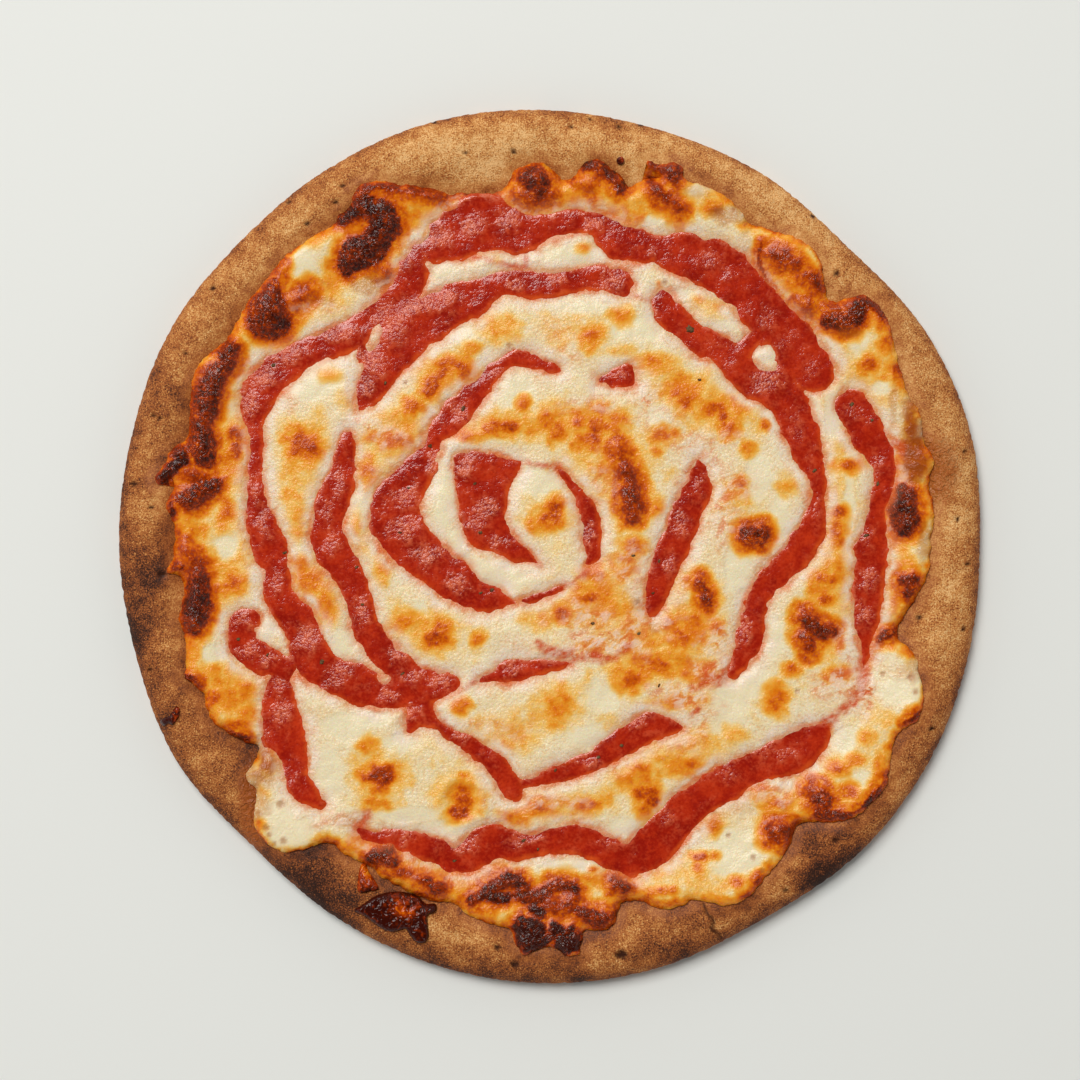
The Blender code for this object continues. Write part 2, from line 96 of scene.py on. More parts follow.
# Pin holes and pits: (x, y, radius)
PITS = (
    (25, -141.5, 2.2), (-12, -144.8, 1.7), (-18, -138.7, 1.2), (99, -101.5, 1.2),
    (82, -119, 1.0), (132.5, -63, 1.0), (128.5, -24.5, 1.0), (143.5, -28.5, 0.9),
    (145, -6, 0.9), (-29, 136.5, 0.9), (-12.5, 137, 0.9), (7.5, 145.6, 0.9),
    (24, 146, 1.0), (14, 148.5, 0.8), (31.5, 147, 0.9), (99.5, 94.8, 1.1),
    (91.5, 115, 0.9), (144, 33, 0.9), (141.5, 9.5, 0.8), (-116.7, 89.8, 1.1),
    (-90.5, 119.8, 1.0), (-84, 112, 0.9), (-74, 119.3, 0.9), (-71.5, 125, 0.8),
    (-137.3, 45.7, 1.0), (-135, 44.5, 0.9), (-144, 21.8, 1.3), (-126, 67, 0.9),
    (-138, 13.5, 0.8), (-134.7, -9.7, 1.4), (-138.7, -42.7, 0.9), (-40, 148, 1.2),
)
CRACK = (
    (53.5, -124, 0.2), (54.5, -127, 0.4), (56.8, -129.5, 0.35), (56.3, -132.5, 0.45),
    (58.6, -134.5, 0.35), (59.6, -137, 0.2),
)
# Places baked darker or paler than the rest: (x, y, half length, half width, turn, change)
BAKED = (
    (-80, -118, 19, 10, 130, 0.36), (-142, -20, 9, 26, 0, 0.28), (98, -110, 18, 8, 45, 0.42),
    (45, -139, 10, 5, 15, 0.25), (-137, -8, 6, 6, 0, 0.06), (-130, -62, 9, 9, 30, 0.06),
    (0, -147, 26, 5, 0, 0.15), (135, -72, 10, 6, 60, 0.05), (-20, 140, 40, 8, 0, -0.10),
    (80, 125, 26, 7, -40, -0.12), (125, -55, 6, 12, 0, -0.05), (-136, 48, 9, 22, 0, 0.14),
    (-30, 129, 20, 5, 0, -0.12), (138, 0, 9, 30, 0, -0.12), (10, -146, 22, 5, 0, -0.12),
    (60, 125, 16, 6, -28, 0.13), (120, -95, 16, 5, 50, -0.06), (-118, -82, 16, 5, -50, -0.06),
    (94, -100, 13, 5, 20, 0.22), (-35, -132, 13, 6, -15, -0.24), (-30, -127, 9, 4, -15, -0.08),
)
# Where oil has soaked the rim: (x, y, half width, half height)
OILED = ((134, 27, 9, 13), (-103, -90, 5, 18))

# ---------------------------------------------------------------- cheese
CHEESE_STEP = 0.78
CHEESE_SHEET = ((-140, -145), (137, 138))  # opposite corners of the grid it is cut from
CHEESE_GAP = 0.5  # from the crust's plain surface, so that the crust's grain stays below
CHEESE_THICK = 2.6
THINNEST_ON_RIM = 0.55  # as a share of that
EDGE_THICK = 0.3
EDGE_ROUNDING = 5.5
CHEESE_UNDERSIDE_GAP = 0.6 * CHEESE_GAP
# The underside runs in over the crust at these shares of the edge's own radius, and then to
# a circle, inside which it is one face
CHEESE_SHRINKS = (1.0, 0.965, 0.92)
CHEESE_INNER_RADIUS = 110.0
CEILING = cad_box[1].z / MM
CEILING_ROOM = 1.1
CHEESE_EDGE = (
    (132, 2), (133, 9), (133, 15), (131.5, 22), (133, 30), (130, 36), (129, 42),
    (127.5, 48), (124, 53), (122, 60), (119, 71), (118, 76), (116.5, 80), (113, 84.5),
    (109, 87), (104, 86.5), (100, 85), (96.8, 85.5), (96, 88), (95, 92), (94.5, 97),
    (92, 102), (88.5, 105.3), (83, 107.8), (72, 111), (69.5, 112), (66, 116.5),
    (62, 120.5), (58, 123), (52, 125.5), (46.5, 127.5), (45.8, 131), (43, 133.2),
    (39, 132.2), (34.6, 133.8), (34, 131.6), (37.8, 129.4), (38.5, 128), (33, 127.4),
    (28, 124.5), (26, 127), (22, 131), (17, 134.3), (12, 133), (9, 129), (5, 127.5), (2, 130),
    (-2, 132.8), (-6, 133.2), (-10, 132), (-13, 129.5), (-15, 126), (-18, 123.5),
    (-24, 122.3), (-30, 123.3), (-35, 122.5), (-40, 124.3), (-54, 126), (-60, 126.8),
    (-65, 125), (-68.5, 121.5), (-69, 118), (-73, 115), (-74, 112), (-79, 109.5),
    (-89, 102.7), (-93, 99), (-97, 94), (-104.5, 84.5), (-109.5, 76), (-113, 71),
    (-117, 67.5), (-120.5, 64.5), (-123.3, 59), (-124.3, 52), (-125.7, 38),
    (-129, 35.7), (-131.8, 32.5), (-133, 29), (-136.5, 24.5), (-135, 21.5), (-131, 24),
    (-130.5, 20), (-133, 14.5), (-131.5, 11), (-130, 7), (-130.3, 0), (-131, -5),
    (-133, -8.7), (-129, -9.8), (-126.7, -14), (-127.5, -20), (-128.6, -25),
    (-126.7, -30), (-125.7, -42), (-127.3, -45), (-123.5, -47.5), (-120, -51),
    (-119, -56), (-116.5, -61), (-111.5, -64.5), (-106, -68), (-101.5, -69),
    (-101.5, -73), (-104.3, -77), (-104.6, -80.5), (-102, -83.5), (-101.5, -88),
    (-102.3, -92), (-102, -96), (-99, -101.5), (-94.5, -105), (-88, -105.3), (-77, -102.8),
    (-72, -106),
    (-66.5, -109), (-62, -111), (-58, -114.5), (-52, -118), (-45, -121.5), (-38, -123),
    (-33, -123.7), (-29, -127), (-24, -129.7), (-17, -131.5), (-13, -133.5),
    (-12.5, -136), (-9, -141), (-3, -139), (1, -138), (5, -141.3), (10, -141),
    (11, -137), (12.5, -132.5), (18, -133), (22, -131), (24, -126), (25, -123.3),
    (32, -123), (36, -125), (41, -125.6), (46, -124), (50, -122.3), (56, -123.4),
    (61, -124.3), (66, -122.7), (71, -119), (79, -109), (82.5, -105), (84.5, -100),
    (86.5, -96.2), (93, -95.3), (100, -95.3), (106, -93), (111, -89), (115.5, -84.5),
    (117.3, -80), (117.8, -74), (119, -68), (122, -63), (126.5, -60.5), (129.3, -55.5),
    (129.3, -51), (128, -44), (126.7, -38), (123.5, -34), (121, -31.5), (121, -28),
    (124, -23), (130.3, -12), (131.6, -6),
)

# ---------------------------------------------------------------- sauce
SAUCE_STEP = 0.62
SAUCE_MARGIN = 12.0  # how far its grid reaches past the strokes' points
FOOT_REACH = 1.2  # how far its foot runs in under the cheese
FOOT_DEPTH = 1.9  # how far its underside lies below the cheese's mean top
# Strokes of (x, y, half width), from one end to the other
OUTER_TOP = (
    (-39, 104.5, 5.5), (-32, 108.5, 8.5), (-23, 112, 9.5), (-13, 109.5, 7), (-4, 109.5, 5),
    (7, 112.6, 3.5), (17, 112, 4), (24, 106.5, 6), (31, 104, 5.5), (37, 103.5, 3.5),
)
UPPER_RIGHT = (
    (38, 103.5, 4), (47, 101, 7.5), (55, 98.5, 8), (62, 94.5, 8.5), (68, 88.5, 7.5),
    (75, 81, 7.5), (81, 74, 8), (87, 67, 8), (92, 61, 7),
)
RIGHT_LONG = (
    (40, 85, 4), (42.5, 80, 4.5), (48, 75, 4), (54, 71, 4.5), (61, 67.5, 4.5),
    (66, 62, 5), (72, 57, 5.5), (79, 54.5, 6.5), (84.5, 48, 6), (87, 41, 6),
    (89.5, 33, 5), (92.5, 26, 3.2), (93, 19, 2.6), (92.3, 11, 3.2), (90, 4, 4.6),
    (86, -2, 4.6), (80, -8.5, 4.5), (74.5, -14.5, 4.2), (72, -20, 3.6), (70.3, -27, 4.2),
    (69.5, -33, 4.6), (67.5, -38, 3.2), (64, -43.5, 1.8),
)
RIGHT_OUTER = (
    (104.5, 49, 5.5), (108, 44, 5.8), (111, 38, 5.5), (114.5, 33, 5), (116.8, 27, 3.8),
    (116, 20, 3.3), (114, 14, 3), (113, 7, 3.8), (112.3, 0, 5.8), (111.5, -7, 5),
    (111, -15, 5), (110.3, -22, 4.6), (109.8, -29, 3.2), (109.8, -36, 1.8), (109, -42, 0.8),
)
BOTTOM = (
    (94.5, -65, 3), (89, -68.5, 6), (82, -73, 6.5), (75, -75.5, 5.3), (68, -78.5, 5.3),
    (61, -82.5, 6), (54, -86.5, 6), (48, -91, 6.3), (42, -98, 6.5), (36, -103.5, 7),
    (28, -108.5, 6), (20, -105.5, 4.8), (12, -102, 5), (4, -101.5, 4.8), (-4, -102.8, 3.8),
    (-12, -103.8, 4.8), (-20, -103, 6), (-27, -107, 5.8), (-33, -108.5, 4.8),
    (-40, -105.5, 4.5), (-47, -103, 4), (-54, -101.5, 2.7), (-61, -101, 2), (-66, -98.5, 1.8),
)
LOWER_RIGHT = (
    (-9, -82.5, 1.2), (-4, -81.5, 1.8), (1, -79.8, 2.8), (8, -77.2, 2.8), (15, -74.8, 3.4),
    (22, -70.5, 4.2), (28, -66.5, 5), (34, -63, 5), (40, -62.5, 3), (45, -63, 0.8),
)
LOWER_LEFT = (
    (-45, -55, 4.5), (-44, -58.8, 3.8), (-38, -62.4, 1.1), (-33.5, -65.7, 1.6),
    (-27.5, -69.2, 2.5), (-21.7, -73, 2.8), (-17.3, -77.8, 3.5), (-13.7, -82.8, 3.9),
    (-12, -85.5, 2.5),
)
LEFT_LONG = (
    (-45.5, 103, 2.5), (-47.5, 97, 4.3), (-48.5, 91, 5.5), (-53, 86, 5), (-59, 80.5, 5),
    (-66, 75, 5), (-73, 72, 4.8), (-80, 69, 4.8), (-88, 65, 4.8), (-95, 60.5, 6.2),
    (-100.6, 54, 6), (-102.8, 47, 3.8), (-102.3, 39, 2.6), (-102, 30, 2.3), (-102, 22, 2.9),
    (-101.7, 15, 3.7), (-100, 8, 4.8), (-97.3, 0, 5.6), (-95, -8, 4.4), (-94.7, -15, 4.6),
    (-91, -21, 5.4), (-86.5, -26.5, 5.8), (-84.3, -33, 5.8), (-82, -40, 6.5),
    (-75, -44.8, 5.5), (-67, -47.5, 6.5), (-59, -50, 6), (-51, -51.5, 4),
)
SECOND_RING = (
    (27, 88.5, 1.5), (24, 92, 4.5), (17, 93.3, 4), (9, 92.5, 3.8), (1, 91.5, 4),
    (-7, 91, 4.5), (-15, 91.7, 4.2), (-22, 89, 4.5), (-29, 85.5, 6.5), (-37, 82.5, 7.5),
    (-45, 77, 8), (-52, 70.5, 7.5), (-57.5, 63.5, 6.8), (-61, 57, 5.2), (-64, 51.5, 3.2),
    (-66, 48, 1.2),
)
CORNER = ((-46.5, -58.5, 3.4), (-48.3, -63, 1.4))
LINK = ((-57, 72, 4), (-62.5, 70.8, 3), (-64.5, 66, 2.2))
ABOVE_ISLAND = ((75.5, 79, 2.8), (73, 74.6, 2.6), (70, 71.2, 2.2), (66.5, 67, 3.2))
BELOW_ISLAND = ((85, 66, 4), (82, 61, 4), (81.5, 56, 4))
THIRD_RING = (
    (3, 61.5, 0.8), (-3, 63.3, 2), (-9, 65, 2.7), (-15, 64, 2.2), (-20, 60.5, 2.7),
    (-25, 54, 3.5), (-30, 48.5, 4.8), (-35, 43.5, 4.5), (-39.5, 39, 3), (-41, 34, 3.5),
    (-44.5, 28.5, 4.7), (-49, 22.5, 6.2), (-53, 15, 8), (-53, 7, 9), (-47.5, 0, 8),
    (-40, -6, 7), (-33, -12, 6.8), (-26, -16.5, 5.3), (-19.5, -18, 4), (-14, -19.3, 1.3),
    (-9, -19, 0.8), (-4, -17.6, 1.1), (1, -15.6, 0.8), (4, -14.3, 0.5),
)
DAB = ((17.5, 58, 1), (22, 58.3, 2.7), (27, 59, 3.6))
INNER_ARC = (
    (3.5, 27, 0.7), (7, 22.5, 1), (10, 18.5, 1.6), (13, 13, 2.8), (14.3, 7, 3.1),
    (14.8, 1, 2.8), (15.5, -3, 2.2), (14, -5.5, 1.3),
)
BAR = (
    (51.5, 29.5, 0.8), (52.3, 25, 3.2), (51.3, 20, 4.6), (49, 14.5, 4.8), (46.5, 8, 4.9),
    (44, 2, 5), (41, -5, 4.9), (38.5, -11, 4.4), (36.8, -17, 3.4), (35.8, -22, 1.8),
)
LOWER_DASH = (
    (-24, -46.5, 0.8), (-19, -45.3, 2), (-14, -43.7, 3.1), (-8, -42.8, 3), (-2, -42, 2),
    (4, -41, 1), (7, -40.3, 0.7),
)
LEFT_RING = (
    (-69, 39.5, 1), (-70.6, 34.5, 3), (-71.2, 29, 3.7), (-72.5, 23, 4.7), (-75, 16, 5.4),
    (-77, 9, 5.2), (-76.8, 3, 6), (-74, -3, 6), (-70.3, -9, 5), (-67.5, -15, 4.6),
    (-65.6, -21, 4.2), (-64, -27, 4.4), (-60.5, -33, 4.9), (-56, -38.5, 5),
    (-51, -43.5, 5), (-45.5, -48, 6.2), (-39, -48.3, 4.8), (-33.5, -48, 2.5),
)
LEFT_HOOK = (
    (-103.5, -25, 2.8), (-107.5, -27, 4), (-106, -34.5, 4.8), (-101, -38.5, 5),
    (-95.5, -41, 4.2), (-90.5, -42, 3),
)
LEFT_BAR = (
    (-91, -42, 3.2), (-93.5, -46.5, 3.8), (-93.8, -52, 5), (-93.5, -58, 6),
    (-92.5, -63.5, 7), (-90.3, -69, 5.6), (-88.5, -75, 4), (-88, -80, 3.3),
    (-85.5, -85, 3.6), (-82, -88, 2), (-79.5, -90, 1),
)
HEART = (
    (-33, 31), (-27, 33), (-22, 32.3), (-10.3, 29), (-13, 23), (-15.3, 18), (-14.8, 10),
    (-12.8, 4), (-9.5, 0), (-6, -3), (-2.5, -7), (-8, -5), (-14, -4.3), (-20, -1.5),
    (-26, 0.8), (-29.5, 4), (-31, 13), (-32.5, 22),
)
# Islands of cheese that stand in the sauce: (x, y, half length, half width, turn)
ISLANDS = (
    (75, 66.8, 4.6, 3.6, -12), (-61.2, 71.9, 3.8, 2.1, 58), (-57.5, -46, 2.6, 1.4, -15),
)
SAUCE_STROKES = {
    "sauce_network": (
        OUTER_TOP, UPPER_RIGHT, RIGHT_LONG, LEFT_LONG, SECOND_RING, LEFT_RING, LEFT_HOOK,
        LEFT_BAR, LOWER_LEFT, LOWER_RIGHT, LINK, CORNER, ABOVE_ISLAND, BELOW_ISLAND,
    ),
    "sauce_right": (RIGHT_OUTER,),
    "sauce_bottom": (BOTTOM,),
    "sauce_ring": (THIRD_RING,),
    "sauce_arc": (INNER_ARC,),
    "sauce_bar": (BAR,),
    "sauce_dash": (LOWER_DASH,),
    "sauce_dab": (DAB,),
}
SAUCE_PATCHES = (*SAUCE_STROKES, "sauce_heart")

# ---------------------------------------------------------------- browning
# Burnt blisters: (darkness, stroke of (x, y, half width))
BURNT = (
    (0.83, ((-94.5, 92, 1.5), (-96, 88, 3.2), (-97, 84, 5.5), (-96.7, 79.5, 7.8))),
    (0.64, ((-93, 98, 1.2), (-94, 93, 2))),
    (0.66, ((-90, 84, 3), (-86, 86.5, 3), (-83.5, 88.5, 2.2))),
    (0.84, ((-110.5, 69, 2.8), (-111, 66, 3.7), (-112, 63, 3.2), (-115, 60, 3.7),
            (-117.5, 56, 4.6), (-118.5, 51, 4.6), (-119.8, 46, 4.1), (-121, 41, 4.2),
            (-120.5, 36, 5), (-119.5, 31.5, 4))),
    (0.85, ((-129, 33, 2.4), (-127.5, 31.5, 2.4))),
    (0.95, ((-126, 30, 1.4), (-128.5, 29, 1.7), (-131, 26.5, 2.2), (-134, 23.8, 2.4))),
    (0.84, ((-126.5, 16.8, 3.2), (-123.5, 16.8, 4.2), (-119, 19.8, 3.6), (-116, 21.5, 2.6))),
    (0.72, ((-126, 26, 1.2), (-123, 24.5, 2), (-119, 24.5, 1.5))),
    (0.88, ((-131.5, 15, 1.2), (-130.5, 11.5, 1.3))),
    (0.87, ((-132, -8, 1.1), (-129.5, -6.5, 1.7), (-127.5, -7, 1.2))),
    (0.66, ((-126.5, -1, 3), (-124, -4.5, 3.6))),
    (0.87, ((-121.5, -7, 2.8), (-121.5, -12, 4), (-122, -17, 4.6), (-122.7, -23, 4.9),
           (-123.3, -27.5, 3.6))),
    (0.88, ((-127, -45, 1.2), (-123.5, -46.3, 1.5), (-121.5, -48.5, 0.9))),
    (0.86, ((-111.5, -64, 0.8), (-108.5, -65.3, 1.3), (-105, -66.8, 1.3))),
    (0.93, ((-73, 112.5, 1.2), (-69.5, 114.5, 2.6), (-65.5, 117.5, 3.6), (-60, 116, 4.6),
            (-56.3, 112.3, 4.9), (-59, 107.5, 5.4), (-62, 103.5, 5.4), (-67, 101.5, 5.6),
            (-70, 98, 3.9))),
    (0.77, ((-69, 119, 1.8), (-66, 122.5, 2.2), (-60, 125, 1.6), (-54, 124.5, 1.9),
            (-47, 123.7, 2.4), (-41, 122.3, 2.4), (-37, 121.5, 1.6))),
    (0.82, ((-54.5, 127.2, 1.2), (-54, 125.5, 1.2))),
    (0.66, ((-60.5, 97.5, 2.5), (-56.5, 95, 2))),
    (0.80, ((-34, 122.8, 0.7), (-27, 122.8, 0.6), (-20, 123, 0.7))),
    (0.85, ((-7, 128.7, 3.6), (-4.6, 126.5, 5), (-4, 122.7, 3.4))),
    (0.70, ((-10.5, 122.5, 2.2), (-6, 120, 2), (1, 122, 2))),
    (0.66, ((8, 131, 1), (9, 127.5, 1.8), (14, 125, 1.8))),
    (0.83, ((13, 132.3, 2.2), (17, 131.8, 2.6), (21, 129.3, 2.8), (25, 126.2, 2.6),
            (23.5, 123.5, 1.8))),
    (0.82, ((35, 132.6, 0.9), (39, 130.8, 1.4), (42.5, 130, 2.8), (43.5, 127, 1.8))),
    (0.75, ((35, 126, 1.8), (38, 122.5, 3), (42, 119.5, 2), (45, 117, 1.8))),
    (0.86, ((-61, -108, 2.8), (-57.5, -107, 4.1), (-55, -109, 2.6))),
    (0.80, ((-45, -115, 1.4), (-42, -116.3, 1.8), (-38.7, -118.3, 2.9))),
    (0.86, ((-27, -122.7, 2.2), (-23, -120, 1.8), (-20, -117.5, 2.7), (-14, -115.7, 2.7),
            (-9, -118, 2.2), (-10, -121, 2.2), (-4, -121, 2.6), (1, -117.8, 2.1),
            (5, -117.2, 2.1), (9, -119, 1.8))),
    (0.96, ((-20, -121.5, 1.8), (-15, -121.8, 1.8))),
    (0.93, ((-6, -125, 1.8), (-3, -127.3, 1.8))),
    (0.72, ((0, -123, 3.4), (5, -124.5, 3), (8, -121.5, 3.4))),
    (0.84, ((10.5, -126, 2), (13, -127.3, 2.2), (18, -129, 3.4), (22, -127, 2.2))),
    (1.06, ((-9, -131.3, 3.6), (-4.5, -132.5, 3), (-8, -136, 3.6), (-4, -137, 2.3),
            (1, -135, 1.3), (2, -131.2, 1), (5, -133.6, 1.1), (8, -131.7, 1))),
    (1.04, ((5, -137.3, 3.6), (8.6, -136.4, 3.4))),
    (0.79, ((23.5, -116.3, 3), (27, -118, 1.6))),
    (0.70, ((76, 101.5, 2.3), (79, 101, 3.2), (82, 98.7, 3.4), (86, 97.5, 2))),
    (0.76, ((89.3, 94, 2), (92, 91.5, 2.6), (94, 89, 1.8))),
    (0.66, ((86, 84.5, 1.8), (89, 82.5, 2.8))),
    (0.84, ((96, 78.6, 2.4), (100, 78, 3.4), (104, 78, 3.4), (107, 82, 3.5),
            (108.5, 84.5, 2.5), (112, 84, 2.5), (115, 81, 1.7), (116.5, 77.8, 1.1))),
    (0.64, ((97, 83, 2.4), (102, 84, 2.6))),
    (0.85, ((122.6, 17.4, 4.6), (123, 12.5, 5.2), (123.3, 8.4, 4.6))),
    (0.84, ((122.3, -11.7, 2), (126, -11.5, 2), (124.3, -15.8, 2))),
    (0.90, ((114.3, -32.2, 1.2), (117, -30.7, 1.8), (120, -29.7, 1.6))),
    (0.81, ((88.5, -24, 2.6), (91, -27, 3.2), (94, -29, 2.7), (98, -28.5, 2.1))),
    (0.78, ((89, -31, 2.6), (90.5, -35, 2.6))),
    (0.73, ((90.5, -83.5, 2.6), (94, -84.5, 2.6))),
    (0.81, ((93.5, -87.5, 3), (95, -89, 3.3))),
    (0.86, ((95, -92, 3.1), (99, -92.7, 2), (103.5, -92.8, 1.2), (108, -90.6, 1),
            (112, -86.8, 1), (115, -83, 1.1), (117, -78.7, 0.8))),
    (0.74, ((78, -98, 3.3), (82, -98.3, 3), (85.3, -95.7, 1.3))),
    (0.72, ((81, -102.3, 1.9), (76, -101, 1.5))),
    (0.82, ((71.5, -116.3, 1.2), (73, -114.5, 0.8))),
    (0.64, ((23.5, 35, 2.2), (25.3, 31.5, 2.6))),
    (0.75, ((26.5, 28, 2.8), (27.6, 23.5, 3.4), (28, 19, 3.8), (28.6, 14.5, 4.2),
            (28.8, 11.5, 3.2))),
    (0.79, ((69, 4, 3.4), (72.5, 4.6, 3.6), (73.5, 2.2, 2))),
    (0.81, ((52.2, -12.4, 2.2), (54, -15.5, 1.3), (54.3, -18.7, 2.3))),
    (0.80, ((73.3, 105.5, 0.7), (72.6, 100, 0.7), (74, 95, 0.7), (76.3, 90, 0.7),
            (79, 86.5, 0.6))),
    (0.86, ((122.5, -61, 0.6), (126, -59.3, 1.2), (128.3, -57, 0.8))),
)
# Toasted spots: (x, y, half width, half height, darkness)
TOASTED = (
    (-86, 37, 5, 3.5, 0.68), (-83.5, 33.5, 4, 3.5, 0.72), (-88, 34, 3, 3, 0.62),
    (-90, 18.5, 2.5, 2.5, 0.42), (-87, 9, 3, 6, 0.40), (-109, 39, 3, 3.5, 0.68),
    (-108.5, 34, 3, 4, 0.70), (-112, 32, 2.5, 2, 0.62), (-109.5, -12.5, 3.6, 3.4, 0.60),
    (-83, -12, 4, 4, 0.58), (-86, -7, 3, 4, 0.52), (-78, -20, 3, 5, 0.50),
    (-117, -52, 4, 3.4, 0.62), (-105, -50, 3, 3, 0.55), (-104, -57, 2.6, 3, 0.58),
    (-108, -62, 3.6, 2.4, 0.66), (-98, -74, 3, 4, 0.50), (-35, 63, 4, 3, 0.66),
    (-30, 61.5, 3.4, 3.4, 0.66), (-41, 55.5, 3, 4, 0.70), (-38, 60, 3, 2, 0.60),
    (-27, 69, 3, 2, 0.46), (-48, 48.5, 3.2, 2.8, 0.60), (-44, 47.5, 2, 2, 0.50),
    (-53, 37.5, 4.6, 3, 0.62), (-61, 38, 4, 2, 0.5), (-62.5, 26, 2.6, 4.4, 0.58),
    (-76, 59.5, 3, 2, 0.40), (-17, 76, 5, 4, 0.40), (-9, 49.3, 2, 2, 0.60),
    (-20, 41.5, 3, 2.6, 0.66), (-14, 41.5, 3.6, 2.6, 0.70), (-28.5, 38.5, 4, 2.2, 0.58),
    (-1, 44, 3, 3, 0.58), (2.5, 40, 2.6, 3, 0.62), (-67, 7, 2.4, 4, 0.38),
    (2, 12, 3, 3.4, 0.72), (0, 9.5, 4, 3, 0.62), (-5, 8, 3, 3, 0.50), (3, 16, 3, 2, 0.52),
    (14.5, 73, 3.4, 3.2, 0.56), (25, 80, 3, 2.4, 0.50), (36, 64, 3.6, 2.6, 0.55),
    (44, 53.5, 3.4, 2.6, 0.58), (47, 51, 3.4, 3, 0.62), (57, 48, 4.6, 2.8, 0.66),
    (62, 41.5, 3, 3.2, 0.62), (60, 45.5, 2.4, 2, 0.66), (66, 47.5, 3, 2, 0.48),
    (17.5, 48, 2.6, 2.2, 0.55), (14, 37.5, 4.4, 3.4, 0.61), (16, 42, 3.6, 3, 0.66),
    (11, 44, 3, 3, 0.60), (24, 45, 3.4, 2, 0.56), (23.5, 39, 2.4, 3, 0.56),
    (20, 27, 3, 4, 0.55), (39, 38.5, 3.4, 2.4, 0.60), (43, 39.5, 1.6, 1.4, 0.60),
    (69, 34, 2.2, 2.2, 0.50), (66, 22, 2.2, 1.6, 0.66), (37, 14, 3, 3, 0.50),
    (37.5, 33, 1.6, 1.6, 0.5), (29, 0, 3.6, 3, 0.60), (26, -4, 3, 2, 0.58),
    (4.5, -23, 2.6, 2.8, 0.66), (16, -10, 4, 3, 0.58), (14, -17.5, 4, 1.8, 0.64),
    (46, -31, 5, 4.4, 0.58), (50, -26, 4, 3, 0.54), (42, -27, 3, 3, 0.58),
    (58, -27, 2.4, 2, 0.60), (34, -40, 6, 3.6, 0.59), (28, -45.5, 4.2, 3.6, 0.62),
    (39, -41.5, 4, 2.6, 0.60), (3.5, -55, 4, 5, 0.50), (78.5, -53, 3.4, 4.4, 0.58),
    (65, -65, 3, 2, 0.36), (45, -77.5, 4, 2, 0.52), (50, -75.5, 3, 1.6, 0.58),
    (31, -78, 4.6, 3, 0.52), (-58, -8, 2.5, 3.5, 0.42), (-50, -25.5, 4, 3, 0.52),
    (-39.5, -32, 4.4, 2.6, 0.71), (-38, -28.5, 3, 3, 0.64), (-25, -32, 2.4, 2, 0.58),
    (-31, -55.5, 2.6, 2.4, 0.56), (-63, -69, 2.8, 2.4, 0.52), (-58.2, -79.3, 5.4, 3.8, 0.80),
    (-59, -84, 3, 2.4, 0.62), (-60, -88.5, 4, 2, 0.52),
    (-30.2, -85.5, 3.4, 3.2, 0.64), (-29.6, -88.3, 3.4, 2.6, 0.68), (-31, -92, 3.8, 3, 0.76),
    (-29.7, -79, 1.6, 1.2, 0.5),
    (-12, -94, 4, 2.4, 0.58), (-3, -90.5, 4, 2.4, 0.62), (13.5, -89.5, 4.4, 1.8, 0.66),
    (33.5, -85, 4, 3, 0.70), (35.5, -88, 2.4, 3, 0.74), (33.5, -91.5, 2.4, 2.4, 0.60),
    (57.5, -96.5, 2, 2.6, 0.58), (52, -107.5, 2.6, 1.6, 0.66), (51.5, -110.5, 1.8, 2, 0.62),
    (57, -107, 1.6, 1.2, 0.55), (65.5, -116, 2.2, 1.8, 0.56), (74, -84, 3.6, 1.2, 0.62),
    (79, -89, 4, 2, 0.6), (40, -119, 4, 1.4, 0.6), (35, -120.5, 2, 2, 0.66),
    (15, -112, 1.3, 0.9, 0.62), (99, -76.5, 3, 2.6, 0.60), (106, -73.5, 2.4, 1.8, 0.56),
    (110.5, -66, 2.6, 2.4, 0.42), (117, -60, 3, 2.4, 0.32), (96, -11, 4.4, 2.4, 0.62),
    (100, -10, 2.4, 4, 0.52), (95.5, -18, 2.6, 2, 0.64), (84, -42.5, 2.4, 2, 0.62),
    (125, -58.7, 3, 1.8, 0.66), (12, 104, 2, 1.2, 0.50), (15, 120, 2, 1.6, 0.62),
    (56, 117.5, 3.4, 2.5, 0.52), (38, 91.5, 1, 1, 0.50), (57, 83, 2.4, 2, 0.36),
    (52, 86, 2, 1.6, 0.42), (110.7, 63, 3, 2.6, 0.66), (116, 69.5, 2.6, 3, 0.62),
    (120, 60, 1.6, 3, 0.66), (104, 28.3, 3.6, 2.2, 0.64), (101, 12, 2.4, 2.6, 0.68),
    (100, 6, 2.4, 3.4, 0.64), (82.5, 20.5, 2.8, 2.2, 0.44), (75, 42.7, 1.6, 1.6, 0.6),
    (103, -84.5, 3.4, 2.4, 0.66), (110, -41.5, 1.5, 1.5, 0.5),
    (-126, 8, 4, 3, 0.46), (100.5, -44, 4, 2, 0.58),
)
